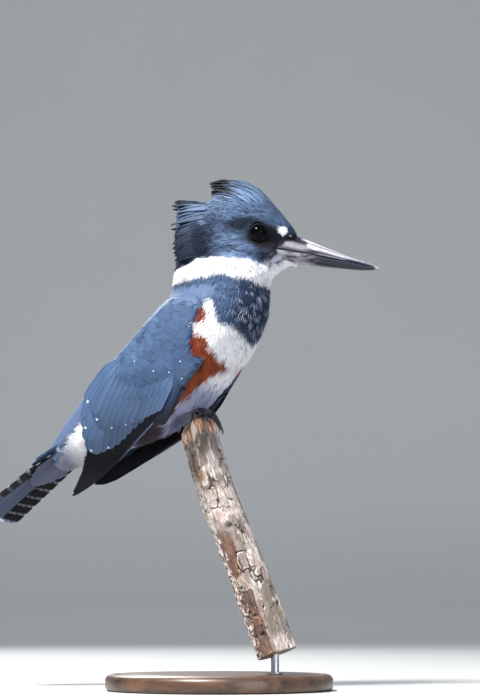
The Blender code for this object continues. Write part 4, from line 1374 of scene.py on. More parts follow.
def crest_course(kind):
    """Lays each plume along a line from its root to a tip on the crest's ragged edge."""
    def lay(root, chance, local, at):
        ahead, left, high = in_head(root)
        wobble = np.sin(chance * 57.0)
        if kind == "front":
            aimed = 302.4 + 13.4 * soft(ahead, -1, 17) - 0.045 * left**2 + 1.2 * wobble
            lock_ahead, lock_high = nearest_lock(FRONT_LOCKS, aimed)
            end_ahead = np.maximum(ahead - 21.5, lock_ahead + 0.5 * wobble)
            free = soft(end_ahead - lock_ahead, 0.5, 3.0)
            end_high = lock_high * (1 - free) + np.maximum(aimed, lock_high) * free + 0.25 * wobble
            end_left = left * 0.80
            swell = 2.6 + 3.6 * soft(ahead, 8, 24)
            dark = 0.95 * soft(-end_ahead, -3, 2) * soft(end_high, 303, 309)
        else:
            aimed = 265 + 1.34 * (high - 270.5) - 0.02 * left**2 + 1.2 * wobble
            end_ahead, end_high = nearest_lock(REAR_LOCKS, aimed)
            end_ahead = end_ahead + 0.6 * wobble
            end_high = end_high + 0.3 * np.sin(chance * 31)
            end_left = left * 0.62
            swell = 1.6 + 0.06 * np.abs(left)
            dark = 0.25 + 0.65 * soft(end_high, 297, 300.5)
        end = np.array([from_head(*p) for p in zip(end_ahead, end_left, end_high)])
        near = np.array([skin_search.find_nearest(Vector(p) * MM)[1] for p in root])
        bend = (root + end) / 2 + near * swell[:, None]
        bend[:, 2] += 1.2 if kind == "front" else 0.2
        start = root - near * 0.4
        t = (local[:, 1] / PLUME_LONG)[None, :, None]
        line = start[:, None] * (1 - t) ** 2 + bend[:, None] * 2 * t * (1 - t) + end[:, None] * t**2
        across = unit(np.cross(end - start, near))
        lift = local[:, 2][None, :, None]
        laid = line + across[:, None] * (local[:, 0][None, :, None] * 1.25) + near[:, None] * lift
        return laid.reshape(-1, 3), dark
    return lay


plume = leaf("plume", PLUME_LONG, 1.0, 0.28, FINE_POINT)
front_crest = headed * soft(skin_ahead, 1, 4) * fade(skin_ahead, 29, 34) * soft(skin_high, 297, 300)
rear_crest = headed * fade(skin_ahead, -6, -3) * soft(skin_ahead, -24, -20) * soft(skin_high, 268, 274)
plant("crest_front", plume, front_crest, everywhere, 1.0, 0.9, 1.1, 0.0, 41, sleek_finish, 0.5,
      crest_course("front"), 0.45)
plant("crest_rear", plume, rear_crest, everywhere, 1.15, 0.9, 1.1, 0.0, 42, sleek_finish, 0.35,
      crest_course("rear"), 0.30)

# %% [markdown]
# ## The bill
# The bill is horn over bone: two long halves that meet in a gape line, a round ridge above,
# and a shallow groove with the nostril's slit near the base. Each half is drawn as a row of
# cross-sections along the head's own axis, which are joined and closed at both ends.

# %% Sizes of the bill
# Distance ahead, the ridge's height, the gape line's height and half width, the keel's height
BILL = [(33, 285.6, 272.7, 11.0, 265.2), (42, 283.3, 271.4, 9.3, 264.4), (50, 280.4, 270.2, 7.8, 263.7),
        (62, 275.6, 268.2, 6.3, 262.3), (76, 269.9, 265.7, 4.6, 260.9), (88, 265.7, 263.2, 2.9, 260.0),
        (95, 263.2, 261.7, 1.6, 260.1), (98.4, 261.5, 260.9, 0.6, 260.3)]
UPPER_SECTION = [(0, 0), (0.20, 0.02), (0.38, 0.09), (0.55, 0.22), (0.70, 0.38), (0.82, 0.55),
                 (0.92, 0.74), (0.98, 0.90), (1.0, 1.0)]
LOWER_SECTION = [(0.95, 0.0), (0.97, 0.12), (0.95, 0.30), (0.88, 0.52), (0.76, 0.70), (0.58, 0.85),
                 (0.36, 0.95), (0.16, 0.99), (0, 1.0)]


def closed_mesh(name, verts, faces):
    """A smooth mesh from points in millimetres, with its faces turned outwards."""
    bm = bmesh.new()
    made = [bm.verts.new(Vector(v) * MM) for v in verts]
    for face in faces:
        bm.faces.new([made[i] for i in face])
    bmesh.ops.recalc_face_normals(bm, faces=bm.faces)
    mesh = mesh_from(name, bm)
    mesh.shade_smooth()
    return mesh


def loft_mesh(name, rings, first, last, tone_rule):
    """A closed mesh from rings of points, with a pole at each end and a tone from a rule."""
    verts = np.concatenate([rings.reshape(-1, 3), [first], [last]])
    foot = len(verts) - 2
    index = np.arange(foot).reshape(rings.shape[:2])
    ahead = np.roll(index, -1, axis=1)
    walls = np.stack([index[:-1], ahead[:-1], ahead[1:], index[1:]], -1)
    faces = walls.reshape(-1, 4).tolist()
    faces += [(b, a, foot) for a, b in zip(index[0], ahead[0])]
    faces += [(a, b, foot + 1) for a, b in zip(index[-1], ahead[-1])]
    mesh = closed_mesh(name, verts, faces)
    keep_tone(mesh, tone_rule(verts))
    return mesh


def closed_loft(name, *loft):
    """An object of one loft."""
    return new_object(name, loft_mesh(name, *loft))


def plain(colour):
    """A tone rule that gives every point one colour."""
    return lambda points: painted(points[:, 0], colour)


def bill_half(name, section, upper, tone_rule):
    """One half of the bill: its sections mirrored to both sides and closed along the gape."""
    rings = []
    for ahead, ridge, gape, wide, keel in spread(BILL, 90):
        groove = 0.35 * math.exp(-(((ahead - 48) / 11) ** 2))
        near, far = (ridge, gape + 0.14) if upper else (gape - 0.14, keel)
        half = []
        for across, drop in section:
            y = across * wide
            if upper:
                slit = ((ahead - 49.5) / 2.4) ** 2 + ((drop - 0.46) / 0.10) ** 2
                y -= groove * math.exp(-(((drop - 0.42) / 0.16) ** 2)) + 0.8 * math.exp(-slit)
            half.append((y, near + (far - near) * drop))
        ring = half + [(-y, z) for y, z in reversed(half) if y > 1e-6]
        if upper:
            ring = ring[:9] + [(wide * 0.5, far), (-wide * 0.5, far)] + ring[9:]
        else:
            ring = ring + [(-wide * 0.45, near), (wide * 0.45, near)]
        rings.append([from_head(ahead, y, z) for y, z in ring])
    rings = np.array(rings)
    return closed_loft(name, rings, rings[0].mean(0), rings[-1].mean(0), tone_rule)


# %% Tones of the horn
HORN = np.array([0.006, 0.007, 0.019])
# Pale horn: worn at the tip, and elsewhere a painted highlight and reflection on the glossy bill.
HORN_WEAR_AND_HIGHLIGHT = np.array([0.660, 0.640, 0.720])
BARE_LORE = np.array([0.012, 0.010, 0.013])
PALE_BASE = np.array([0.270, 0.255, 0.290])


def upper_tone(points):
    ahead, left, high = in_head(points)
    tone = painted(ahead, HORN)
    row_ahead, row_ridge, row_gape = np.array(BILL).T[:3]
    gape = np.interp(ahead, row_ahead, row_gape)
    ridge = np.interp(ahead, row_ahead, row_ridge)
    up = (high - gape) / np.maximum(ridge - gape, 0.4)
    streak = grain(np.stack([ahead * 0.045, up * 5, np.sign(left)], 1), 1.0, 51)
    lines = grain(np.stack([ahead * 0.06, up * 12, np.sign(left)], 1), 1.0, 53)
    # Painted reflection: a pale, streaky band along the side of the upper mandible.
    pale = soft(up, 0.36, 0.54) * soft(ahead, 46, 52)
    tone = cover(tone, HORN_WEAR_AND_HIGHLIGHT, pale * (0.10 + 0.80 * soft(streak + 0.7 * lines, -0.3, 0.6)))
    # Painted highlight along the ridge.
    tone = cover(tone, HORN_WEAR_AND_HIGHLIGHT, 0.85 * soft(up, 0.82, 0.93) * soft(ahead, 50, 54))
    # Painted reflection: a light line just above the gape.
    above_gape = fade(np.abs(up - 0.17), 0.05, 0.11) * soft(ahead, 56, 66)
    tone = cover(tone, HORN_WEAR_AND_HIGHLIGHT * 0.6, 0.8 * above_gape * soft(lines, -0.6, 0.2))
    # A paler, streaky base, partly its own colour and partly painted reflection.
    base = fade(ahead, 48, 58) * soft(up, 0.05, 0.20) * fade(up, 0.50, 0.60)
    tone = cover(tone, HORN_WEAR_AND_HIGHLIGHT * 0.40, 0.9 * base * soft(streak, -0.8, 0.2))
    lore = soft(up, 0.42, 0.52) * (1 - soft(up, 0.80, 0.90) * soft(ahead, 49, 50.5))
    tone = cover(tone, BARE_LORE, 0.96 * lore * fade(ahead, 52.5, 54.5))
    return cover(tone, HORN_WEAR_AND_HIGHLIGHT * 0.8, soft(ahead, 94.5, 97.5))


def lower_tone(points):
    ahead, left, high = in_head(points)
    tone = painted(ahead, HORN * 0.9)
    streak = grain(np.stack([ahead * 0.06, left * 1.2, high * 1.6], 1), 1.0, 52)
    base = fade(ahead + 4 * streak, 52, 63)
    tone = cover(tone, PALE_BASE, 0.9 * base * soft(streak, -0.6, 0.1))
    return cover(tone, HORN_WEAR_AND_HIGHLIGHT * 0.5, 0.8 * soft(ahead, 94.5, 97.5))


bill_upper = bill_half("bill_above", UPPER_SECTION, True, upper_tone)
bill_lower = bill_half("bill_below", LOWER_SECTION, False, lower_tone)
print("bill faces:", len(bill_upper.data.polygons), len(bill_lower.data.polygons))

# %% [markdown]
# Horn is smooth but not even: growth leaves fine lines along it, and use scratches it. The
# finish stretches a noise along the bill for those lines and lets it change the gloss too.


# %% Horn finish
def horn_finish():
    made, tree, shader = finish_of("bill_horn_polished")
    lines = noise_of(tree, own_space(tree, (0, 0, -HEAD_TURN), (0.05, 1, 1)), 1500.0, 4.0, 0.6)
    blotch = noise_of(tree, own_space(tree), 220, 3.0)
    shade = varied(tree, blotch, 0.5, varied(tree, lines, 1.5, 1.0))
    give(shader, {"Base Color": own_tone(tree, shade), "Specular IOR Level": 0.4,
                  "Roughness": sums(tree, "MULTIPLY_ADD", lines, 0.22, 0.16),
                  "Coat Weight": 0.15, "Coat Roughness": 0.2,
                  "Normal": bump_of(tree, lines, 0.35, 0.0003)})
    return made


horn = horn_finish()
hand_in(unfold(bill_upper), horn, "bill_horn", "bill_upper")
hand_in(unfold(bill_lower), horn, "bill_horn", "bill_lower")

# %% [markdown]
# ## The eyes
# A kingfisher's eye is a glossy, almost black bead in a ring of fine bare skin. The ball
# bulges a little in front, and the lid is a soft ring that hugs it, a little drawn out at
# its two corners, and sunk so that the coat closes over its rim.

# %% Eyeballs
EYE_DARK = np.array([0.003, 0.003, 0.003])
EYE_BULGE = 0.3


def eye_frame(sign):
    """The centre of an eye, the way it looks, and two directions across it."""
    look = unit(HEAD_LEFT * sign * 0.97 + HEAD_AHEAD * 0.20 + np.array([0, 0, 0.04]))
    up = unit(np.array([0, 0, 1.0]) - look * look[2])
    return from_head(EYE_AHEAD, EYE_LEFT * sign, EYE_HIGH), look, np.cross(up, look), up


def eyeball(name, sign):
    centre, look, across, up = eye_frame(sign)
    around = np.linspace(0, 2 * math.pi, 56, endpoint=False)
    rings = []
    for angle in np.linspace(0.03, math.pi - 0.03, 48):
        size = EYE_SIZE + EYE_BULGE * math.exp(-((angle / 0.55) ** 2))
        rings.append([centre + look * size * math.cos(angle)
                      + (across * math.cos(a) + up * math.sin(a)) * size * math.sin(angle)
                      for a in around])
    front = centre + look * (EYE_SIZE + EYE_BULGE)
    return closed_loft(name, np.array(rings), front, centre - look * EYE_SIZE, plain(EYE_DARK))


def eye_finish():
    made, tree, shader = finish_of("eye_wet")
    specks = noise_of(tree, own_space(tree), 2600)
    give(shader, {"Base Color": own_tone(tree, varied(tree, specks, 0.4, 0.3)), "Roughness": 0.06,
                  "IOR": 1.376, "Specular IOR Level": 0.08, "Coat Weight": 0.02,
                  "Coat Roughness": 0.02})
    return made


# %% Lids
LID = [(4.70, 3.50), (4.78, 3.78), (5.00, 3.82), (5.35, 3.52), (5.80, 2.90), (6.30, 2.00), (6.70, 1.00),
       (6.20, 0.80), (5.50, 2.00)]


def lid_ring(name, sign):
    """A soft ring of bare skin round the eye, drawn out at its corners."""
    centre, look, across, up = eye_frame(sign)
    rings = []
    for angle in np.linspace(0, 2 * math.pi, 96, endpoint=False):
        corner = 1 + 0.10 * abs(math.cos(angle)) ** 6 - 0.04 * abs(math.sin(angle)) ** 2
        bead = 1 + 0.016 * math.sin(angle * 40)
        where = across * math.cos(angle) + up * math.sin(angle)
        rings.append([centre + where * out * corner + look * high * bead for out, high in LID])
    index = np.arange(len(rings) * len(LID)).reshape(-1, len(LID))
    right = np.roll(index, -1, axis=1)
    faces = np.stack([index, right, np.roll(right, -1, axis=0), np.roll(index, -1, axis=0)], -1)
    return new_object(name, closed_mesh(name, np.array(rings).reshape(-1, 3), faces.reshape(-1, 4)))


def lid_finish():
    made, tree, shader = finish_of("bare_lid")
    pores = noise_of(tree, own_space(tree), 1700, 3.0)
    give(shader, {"Base Color": blend_of(tree, pores, (0.003, 0.003, 0.005, 1), (0.012, 0.011, 0.014, 1)),
                  "Roughness": 0.7, "Specular IOR Level": 0.05,
                  "Normal": bump_of(tree, pores, 0.5, 0.0003)})
    return made


wet = eye_finish()
bare_lid = lid_finish()
for side, sign in SIDES.items():
    hand_in(unfold(eyeball(f"eyeball_{side}", sign)), wet, "eye", f"eye_{side}")
    hand_in(unfold(lid_ring(f"lid_{side}", sign)), bare_lid, "eye")
print("eyes set at", EYE_HIGH, "mm")

# %% [markdown]
# ## The feet
# The short legs end in small blackish toes, three forward and one back, that grip the broken
# rim of the branch. Each toe is a tube along a bent path. Its radius swells at the pads below
# and steps at every scute, the plates that cover a bird's toe from above.

# %% The branch's own directions and the toes' paths
PERCH_TOP = np.array([-15.6, 0.0, 168.0])
PERCH_FOOT = np.array([37.6, 0.0, 22.5])
PERCH_LONG = float(np.linalg.norm(PERCH_TOP - PERCH_FOOT))
PERCH_UP = unit(PERCH_TOP - PERCH_FOOT)
PERCH_FRONT = np.array([PERCH_UP[2], 0.0, -PERCH_UP[0]])
PERCH_RIM = 13.2
FOOT_LEFT = 5.6


def on_perch(front, left, up):
    """A point ahead of, left of and above the middle of the broken end."""
    return PERCH_TOP + PERCH_FRONT * front + np.array([0, left, 0]) + PERCH_UP * up


def toe_line(foot, share, reach, way):
    """Points of a toe from the foot over the rim and down the branch's side."""
    sign = math.copysign(1, foot)
    tip = foot * share
    start = (way * 1.8 + 2.2, foot + sign * (share - 1) * 1.6, 3.2)
    if way < 0:
        return [on_perch(*p) for p in (start, (-0.8, foot * 0.6, 1.4), (-2.4, foot * 0.4, -1.0))]
    reach = reach * (1.5 if foot > 0 else 0.7)
    rim = math.sqrt(PERCH_RIM**2 - tip**2)
    return [on_perch(*p) for p in (start, (rim * 0.60, (foot + tip) / 2, 2.2),
                                   (rim * 0.86, tip * 0.9, -1.0), (rim, tip, reach))]


# Share of the foot's side place, reach past the rim, and the way it points
TOES = {"inner": (0.33, -5.5, 1), "middle": (0.95, -8.0, 1), "outer": (1.62, -6.0, 1),
        "hind": (1.0, 2.4, -1)}


# %% Scaly tubes
def scaly_tube(line, radii, scutes, rows=64, sides=16, depth=0.055):
    """Rings of a tube whose upper side steps at each scute and whose lower side has pads."""
    path = spread(line, rows)
    radius = spread([(r,) for r in radii], rows)[:, 0]
    t = np.linspace(0, 1, rows)
    step = (t * scutes) % 1
    rings = []
    for k in range(rows):
        way = unit(path[min(k + 1, rows - 1)] - path[max(k - 1, 0)])
        across = unit(np.cross(way, [0, 1.0, 0]))
        side = np.cross(across, way)
        ring = []
        for a in np.linspace(0, 2 * math.pi, sides, endpoint=False):
            top = 0.5 - 0.5 * math.cos(a)
            plate = 1 + depth * (1.3 - 1.6 * step[k]) * top
            pad = 1 + 0.10 * (1 - top) * math.sin(t[k] * math.pi * 5)
            ring.append(path[k] + (side * math.sin(a) * 0.92 - across * math.cos(a))
                        * radius[k] * plate * pad)
        rings.append(ring)
    first = path[0] + unit(path[0] - path[1]) * radius[0] * 0.6
    last = path[-1] + unit(path[-1] - path[-2]) * radius[-1] * 0.7
    return np.array(rings), first, last


SCALE = np.array([0.016, 0.014, 0.020])
# Lighter worn scutes that also serve as painted glints on the toes.
WORN_AND_GLINT_SCALE = np.array([0.150, 0.135, 0.150])
CLAW = np.array([0.014, 0.013, 0.014])


def scale_tone(points):
    tone = SCALE * (1 + 0.35 * grain(points, 0.9, 61) + 0.3 * grain(points, 3.0, 62))[:, None]
    # Lighter worn scutes, which also stand in as painted glints on the glossy toes.
    return cover(tone, WORN_AND_GLINT_SCALE, 0.45 * soft(grain(points, 1.3, 63), 0.2, 0.7))


def claw_tone(points):
    return CLAW * (1 + 0.4 * grain(points, 0.8, 64))[:, None]


def scale_finish(name, gloss, size):
    made, tree, shader = finish_of(name)
    cells = add(tree, "ShaderNodeTexVoronoi", {"Vector": own_space(tree), "Scale": size},
                feature="DISTANCE_TO_EDGE").outputs["Distance"]
    seams = sums(tree, "SUBTRACT", 1.0, sums(tree, "MULTIPLY", cells, 6.0, clamp=True))
    shade = sums(tree, "MULTIPLY_ADD", seams, -0.45, 1.1)
    plates = sums(tree, "SUBTRACT", 1.0, seams)
    give(shader, {"Base Color": own_tone(tree, shade), "Roughness": gloss, "Specular IOR Level": 0.5,
                  "Coat Weight": 0.5, "Coat Roughness": 0.12,
                  "Normal": bump_of(tree, plates, 0.4, 0.0002)})
    return made


toe_scales = scale_finish("toe_scales", 0.34, 1300)
claw_gloss = scale_finish("claw_gloss", 0.20, 500)


# %% Build both feet
def joined(name, lofts, finish, slot, *nodes):
    """One object from several closed lofts."""
    bm = bmesh.new()
    for k, loft in enumerate(lofts):
        bm.from_mesh(loft_mesh(f"{name}_{k}", *loft))
    mesh = mesh_from(name, bm)
    mesh.shade_smooth()
    hand_in(unfold(new_object(name, mesh)), finish, slot, *nodes)
    print(f"{name}: {len(mesh.polygons)} faces")


def foot_parts(foot):
    toes, claws = [], []
    for share, reach, way in TOES.values():
        line = toe_line(foot, share, reach, way)
        toes.append((*scaly_tube(line, (1.15, 0.98, 0.90, 0.75), 13 if way > 0 else 8), scale_tone))
        end = spread(line, 64)
        along = unit(end[-1] - end[-4])
        long, curl = (3.4, 1.6) if way > 0 else (2.0, 0.8)
        claw_line = [end[-1] + along * (0.2 + long * s) - PERCH_FRONT * way * (curl * s * s)
                     for s in np.linspace(0, 1, 6)]
        claw = scaly_tube(claw_line, (0.70, 0.66, 0.56, 0.42, 0.25, 0.10), 1, 28, 12, 0.0)
        claws.append((*claw, claw_tone))
    shank = [on_perch(2.0, foot, 3.4), on_perch(1.4, foot, 6.0), on_perch(-1.4, foot, 12.6),
             on_perch(-4, foot * 1.1, 17.6)]
    toes.append((*scaly_tube(shank, (2.1, 2.0, 1.9, 2.2), 10), scale_tone))
    return toes, claws


for side, sign in SIDES.items():
    toes, claws = foot_parts(FOOT_LEFT * sign)
    joined(f"scaly_foot_{side}", toes, toe_scales, "leg_scale", f"foot_{side}", f"shank_{side}")
    joined(f"claws_{side}", claws, claw_gloss, "claw_horn", *[f"{toe}_toe_claw_{side}" for toe in TOES])

# %% [markdown]
# ## The branch
# A dead branch, silver where the weather has bleached it and red-brown where bark has come
# away, cracked along its length, with a knot, and broken off in orange splinters at the top.
# It is a grid wrapped round a bent line. Random fields stretched along the grain raise the
# bark's plates, cut the cracks and break the top, and the same fields choose its tone.

# %% The branch's grid
TORN_FROM = 0.932
perch_t = np.concatenate([np.linspace(0, 0.93, 370), np.linspace(TORN_FROM, 1.0, 46)])
perch_a = np.linspace(0, 2 * math.pi, 210, endpoint=False)
T, A = np.meshgrid(perch_t, perch_a, indexing="ij")
T = T.ravel()
A = A.ravel()
AROUND = np.stack([np.cos(A), np.sin(A)], 1)
girth = 12.3 + (11.0 - 12.3) * T
middle_line = (PERCH_FOOT + PERCH_UP * (PERCH_LONG * T)[:, None]
               + PERCH_FRONT * (-2.6 * np.sin(math.pi * T * T))[:, None])
LEFTWARD = np.array([0, 1.0, 0])
ray = PERCH_FRONT * AROUND[:, 0:1] + LEFTWARD * AROUND[:, 1:2]
grain_at = np.concatenate([AROUND * girth[:, None], (T * PERCH_LONG)[:, None]], 1)


def along_grain(size, squeeze, seed):
    """Random values drawn out along the branch."""
    return grain(grain_at * np.array([1, 1, squeeze]), size, seed)


patches = along_grain(8.0, 0.45, 71) + 0.5 * along_grain(3.4, 0.5, 72)
pits = along_grain(1.5, 0.45, 73)
fibres = along_grain(1.0, 0.16, 87)
fine_fibres = along_grain(0.55, 0.30, 74)
lumps = along_grain(15, 0.6, 77)
seam = along_grain(4.6, 0.34, 75) + 0.30 * pits
crack = fade(np.abs(seam - 0.05), 0.02, 0.07) * soft(along_grain(11, 0.5, 76), -0.25, 0.1)
lip = soft(seam, 0.08, 0.13) * fade(seam, 0.17, 0.24) * soft(along_grain(7, 0.5, 78), -0.1, 0.25)


def turned_to(angle, spread_by):
    """One near an angle round the branch, fading to nothing at `spread_by` degrees off it."""
    off = np.abs(np.degrees(np.angle(np.exp(1j * (A - math.radians(angle))))))
    return fade(off, spread_by * 0.6, spread_by)


stripped = turned_to(-106, 34) * fade(T, 0.57, 0.64) * soft(np.abs(T - 0.30), 0.015, 0.05)
stripped = soft(stripped + 0.50 * patches + 0.35 * pits, 0.48, 0.62)
scaly = turned_to(-158, 46) * soft(along_grain(1.7, 0.6, 79), -0.25, 0.35)
print("grid of the branch:", len(perch_t), "by", len(perch_a))

# %% [markdown]
# The knot is a low mound with a sunk eye, on the side that faces the viewer. At the top the
# wood is torn: the rim's height changes with angle, and splinters stand on it.

# %% Knot, break and final shape
knot_turn = math.radians(-84)
down_by = (T - 0.545) * PERCH_LONG
round_by = np.angle(np.exp(1j * (A - knot_turn))) * girth
knot = np.exp(-np.hypot(down_by / 6.0, round_by / 5.0) ** 2)
knot_eye = np.exp(-np.hypot((down_by + 1.8) / 1.9, (round_by - 2.0) / 2.4) ** 2)
radius = girth - 0.1 + 0.7 * lumps + 0.30 * patches + 0.30 * pits + 0.14 * fibres + 0.12 * fine_fibres
radius = radius - 0.8 * crack + 0.35 * lip + 2.3 * knot - 2.0 * knot_eye - 0.6 * stripped + 0.7 * scaly
torn = soft(T, TORN_FROM, 1.0)
inward_share = np.sqrt(np.clip(1 - torn**4, 0, 1))
radius = radius * np.where(T > TORN_FROM, 0.02 + 0.98 * inward_share, 1)
rim_drop = 5.5 * turned_to(-150, 70) + 4.0 * turned_to(10, 60)
splinter = np.abs(along_grain(2.0, 0.02, 88)) * 3.4 + np.abs(along_grain(0.9, 0.02, 80)) * 2.6
raised = (splinter - rim_drop) * soft(T, 0.90, 0.95) * (1 - 0.45 * torn)
bark_at = middle_line + ray * radius[:, None] + PERCH_UP * raised[:, None]
rings = bark_at.reshape(len(perch_t), len(perch_a), 3)

# %% Tones of bark and wood
GREY_BARK = np.array([0.205, 0.165, 0.148])
SILVER = np.array([0.360, 0.310, 0.285])
STAIN = np.array([0.110, 0.094, 0.070])
RED_BROWN = np.array([0.105, 0.056, 0.043])
FRESH_WOOD = np.array([0.520, 0.260, 0.135])
BLEACHED = np.array([0.620, 0.560, 0.520])
CRACK = np.array([0.018, 0.013, 0.012])


def branch_tone():
    """The bark's tone from the same fields that shape it."""
    tone = GREY_BARK * (1 + 0.35 * pits + 0.25 * fibres)[:, None]
    pale = soft(patches + 0.25 * fibres + 0.25 * (1 - T), -0.25, 0.35)
    tone = cover(tone, SILVER * (1 + 0.25 * pits)[:, None], pale)
    tone = cover(tone, STAIN, 0.75 * soft(-along_grain(6, 0.5, 81) + 0.3 * pits, 0.12, 0.50))
    tone = cover(tone, STAIN * 1.4, 0.55 * soft(pits, 0.35, 0.7))
    tone = cover(tone, BLEACHED, 0.60 * soft(along_grain(1.3, 0.40, 82) + 0.4 * patches, 0.38, 0.70))
    peeled = 0.9 * stripped * fade(T, 0.50, 0.56)
    tone = cover(tone, RED_BROWN * (0.85 + 0.5 * fibres)[:, None], peeled)
    rust = soft(along_grain(2.4, 0.35, 84) + 0.4 * turned_to(-110, 40), 0.52, 0.75)
    tone = cover(tone, FRESH_WOOD * 0.45, 0.5 * rust)
    tone = cover(tone, BLEACHED * 1.1, 0.8 * lip * soft(fibres, -0.6, 0.2))
    flaked = scaly * soft(along_grain(1.0, 0.8, 83), -0.2, 0.2) * fade(T, 0.5, 0.7)
    tone = cover(tone, BLEACHED, 0.85 * flaked)
    tone = tone * (1.20 - 0.20 * soft(T, 0.15, 0.45) - 0.10 * soft(T, 0.70, 0.80))[:, None]
    tone = cover(tone, CRACK * 2, 0.9 * crack)
    tone = cover(tone, SILVER * 1.2, 0.6 * knot)
    tone = cover(tone, CRACK * 2, 0.9 * knot_eye)
    wood = soft(T + 0.014 * pits + 0.006 * fibres + 0.02 * turned_to(-150, 80), 0.915, 0.935)
    fresh = FRESH_WOOD * (1 + 0.5 * fibres + 0.3 * fine_fibres)[:, None]
    aged = soft(along_grain(1.3, 0.25, 86) + 0.3 * pits, -0.25, 0.1)
    fresh = cover(fresh, BLEACHED * np.array([1.2, 1.05, 0.95]), 0.85 * aged)
    fresh = cover(fresh, CRACK * 3, 0.7 * soft(-along_grain(1.5, 0.12, 85), 0.15, 0.45))
    return cover(tone, fresh, wood)


branch_colours = np.concatenate([branch_tone(), [SILVER, FRESH_WOOD]])
branch = closed_loft("dead_branch", rings, PERCH_FOOT, rings[-1].mean(0), lambda points: branch_colours)


def bark_finish():
    made, tree, shader = finish_of("weathered_bark")
    lean = math.atan2(PERCH_UP[0], PERCH_UP[2])
    hair = noise_of(tree, own_space(tree, (0, -lean, 0), (1, 1, 0.12)), 1500.0, 5.0, 0.65)
    grit = noise_of(tree, own_space(tree), 900, 4.0, 0.7)
    shade = varied(tree, grit, 0.6, varied(tree, hair, 1.3, 1.0))
    give(shader, {"Base Color": own_tone(tree, shade), "Roughness": 0.82, "Specular IOR Level": 0.25,
                  "Normal": bump_of(tree, sums(tree, "ADD", hair, grit), 0.6, 0.0006)})
    return made


hand_in(unfold(branch), bark_finish(), "bark", "perch")
print("branch faces:", len(branch.data.polygons))

# %% [markdown]
# ## The stand
# The model stands on a turned disc of dark wood, with a steel pin up into the branch's foot.
# The disc is a profile spun about its middle, with a rounded top edge and a fine groove. Its
# grain runs straight across, as in a disc cut from a plank.

# %% The disc and the pin
# Each row is a radius and a height
BASE = [(0.01, 0.0), (66.5, 0.0), (69.2, 0.5), (69.9, 1.6), (70.0, 3.0), (70.0, 6.6), (69.7, 7.6),
        (69.0, 8.7), (67.9, 9.5), (66.6, 9.9), (64.9, 10.0), (63.3, 10.0), (62.9, 9.7), (62.5, 9.6),
        (62.1, 9.7), (61.7, 10.0), (40.0, 10.0), (20.0, 10.0), (0.01, 10.0)]
PIN = [(0.01, 10.2), (4.6, 10.2), (4.8, 10.6), (4.6, 11.3), (2.6, 11.6), (2.48, 12.0), (2.48, 22.0),
       (2.48, 35.6), (2.3, 36.2), (0.01, 36.3)]
PIN_X = 36.1
DARK_WOOD = np.array([0.10, 0.055, 0.032])
STEEL = np.array([0.5, 0.5, 0.52])


def spun(name, profile, middle_x, sides, colour):
    """A profile of radius and height turned about an upright axis."""
    around = np.linspace(0, 2 * math.pi, sides, endpoint=False)
    rings = np.array([[(middle_x + r * math.cos(a), r * math.sin(a), z) for a in around]
                      for r, z in profile])
    low, high = ((middle_x, 0, profile[k][1]) for k in (0, -1))
    made = closed_loft(name, rings, low, high, plain(colour))
    made.data.set_sharp_from_angle(angle=math.radians(55))
    return made


def wood_finish():
    made, tree, shader = finish_of("oiled_wood")
    where = own_space(tree)
    wander = noise_of(tree, where, 14.0, output="Color")
    bent = add(tree, "ShaderNodeVectorMath", {0: wander, 1: (0.02, 0.02, 0.02)}, operation="MULTIPLY")
    place_at = add(tree, "ShaderNodeVectorMath", {0: where, 1: bent.outputs[0]}, operation="ADD")
    drawn = add(tree, "ShaderNodeMapping", {"Vector": place_at.outputs[0], "Scale": (0.06, 1, 1)})
    rings = noise_of(tree, drawn.outputs[0], 130.0, 5.0, 0.55)
    pores = noise_of(tree, drawn.outputs[0], 1600.0)
    ramp = add(tree, "ShaderNodeValToRGB", {0: rings})
    dark, light = ramp.color_ramp.elements
    dark.position = 0.36
    dark.color = (0.035, 0.017, 0.010, 1)
    light.position = 0.66
    light.color = (0.135, 0.068, 0.036, 1)
    shade = sums(tree, "MULTIPLY_ADD", sums(tree, "LESS_THAN", pores, 0.40), -0.4, 1.0)
    give(shader, {"Base Color": tinted(tree, ramp.outputs[0], shade),
                  "Roughness": sums(tree, "MULTIPLY_ADD", rings, 0.2, 0.28),
                  "Coat Weight": 0.25, "Coat Roughness": 0.25,
                  "Normal": bump_of(tree, pores, 0.15, 0.0002)})
    return made


def steel_finish():
    made, tree, shader = finish_of("brushed_steel")
    lines = noise_of(tree, own_space(tree, None, (0.05, 0.05, 1.6)), 1800, 3.0)
    give(shader, {"Base Color": blend_of(tree, lines, (0.42, 0.42, 0.44, 1), (0.62, 0.62, 0.63, 1)),
                  "Metallic": 1.0, "Roughness": sums(tree, "MULTIPLY_ADD", lines, 0.25, 0.18),
                  "Normal": bump_of(tree, lines, 0.2, 0.0001)})
    return made


base = spun("stand_disc", BASE, 0, 160, DARK_WOOD)
pin = spun("stand_pin", PIN, PIN_X, 48, STEEL)
hand_in(unfold(base), wood_finish(), "base_wood", "stand_base")
hand_in(unfold(pin), steel_finish(), "steel_rod", "stand_rod")
print("stand: disc and pin")

# %% [markdown]
# ## Floor, light and camera
# A pale sweep under and behind the model, a soft key light high on the viewer's left, weaker
# ones from the right and from behind, and a faint sky all round, as in a small studio.


# %% The sweep
VIEW_TURN = math.radians(19)
SWEEP = [(-4.0, 0.0), (1.7, 0.0), (2.2, 0.05), (2.55, 0.2), (2.7, 0.5), (2.75, 1.2), (2.75, 3.0)]


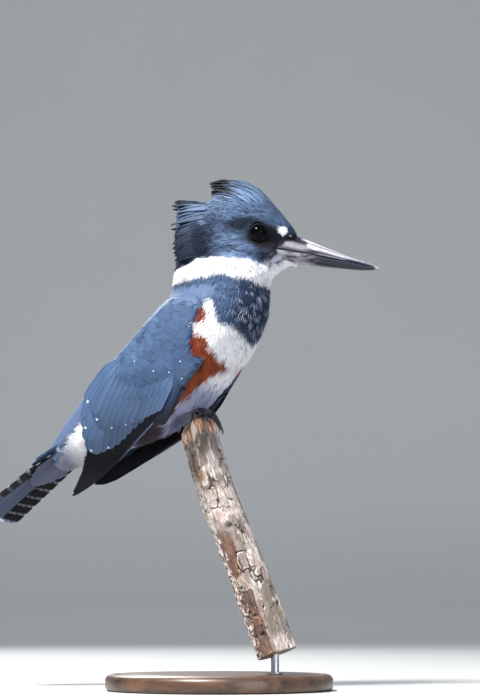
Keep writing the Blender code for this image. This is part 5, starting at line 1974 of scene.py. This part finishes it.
def studio_sweep():
    """A floor that curves up into a backdrop behind the model, seen from the camera."""
    rows = spread(SWEEP, 40)
    verts = [(wide * math.cos(VIEW_TURN) - deep * math.sin(VIEW_TURN),
              wide * math.sin(VIEW_TURN) + deep * math.cos(VIEW_TURN), high - 0.0002)
             for deep, high in rows for wide in (-4.5, 4.5)]
    faces = [(2 * k, 2 * k + 1, 2 * k + 3, 2 * k + 2) for k in range(len(rows) - 1)]
    mesh = bpy.data.meshes.new("sweep")
    mesh.from_pydata(verts, [], faces)
    mesh.shade_smooth()
    return new_object("sweep", mesh)


sweep = studio_sweep()
paper, tree, shader = finish_of("studio_paper")
shades = blend_of(tree, noise_of(tree, own_space(tree), 3.0), (0.46, 0.47, 0.46, 1), (0.49, 0.50, 0.49, 1))
give(shader, {"Base Color": shades, "Roughness": 0.9})
sweep.data.materials.append(paper)


# %% Lights
def into_scene(made, place_at, aim):
    """Puts a lamp or a camera at a place and turns it to what it looks at."""
    made.location = place_at
    made.rotation_euler = (Vector(aim) - made.location).to_track_quat("-Z", "Y").to_euler()
    bpy.context.scene.collection.objects.link(made)


def soft_light(name, place_at, aim, size, power, colour):
    lamp = bpy.data.lights.new(name, "AREA")
    lamp.size = size
    lamp.energy = power
    lamp.color = colour
    into_scene(bpy.data.objects.new(name, lamp), place_at, aim)


middle = (0.0, 0.0, 0.21)
soft_light("key", (-0.25, -0.88, 1.46), middle, 0.32, 66, (1.0, 0.98, 0.95))
soft_light("fill", (1.1, -0.9, 0.5), middle, 0.9, 8, (0.84, 0.88, 1.0))
soft_light("rim", (-0.7, 0.9, 0.9), middle, 0.6, 12, (1.0, 1.0, 1.0))
sky = bpy.data.worlds.new("studio_sky")
sky.use_nodes = True
background = sky.node_tree.nodes["Background"]
background.inputs[0].default_value = (0.70, 0.80, 1.0, 1)
background.inputs[1].default_value = 0.40
bpy.context.scene.world = sky
bpy.context.scene.view_settings.view_transform = "Standard"

# %% Camera
VIEW_RISE = math.radians(-6)
VIEW_FAR = 1.5
FRAME_WIDE = 0.4348
camera = bpy.data.cameras.new("viewer")
camera.sensor_width = 36
camera.lens = camera.sensor_width * VIEW_FAR / FRAME_WIDE
camera.clip_start = 0.05
viewer = bpy.data.objects.new("viewer", camera)
aim = Vector((0.0135, 0.0, 0.2096))
way_out = Vector((math.sin(VIEW_TURN) * math.cos(VIEW_RISE), -math.cos(VIEW_TURN) * math.cos(VIEW_RISE),
                  math.sin(VIEW_RISE)))
into_scene(viewer, aim + way_out * VIEW_FAR, aim)
bpy.context.scene.camera = viewer
print("camera height:", round(viewer.location.z, 3), "m")
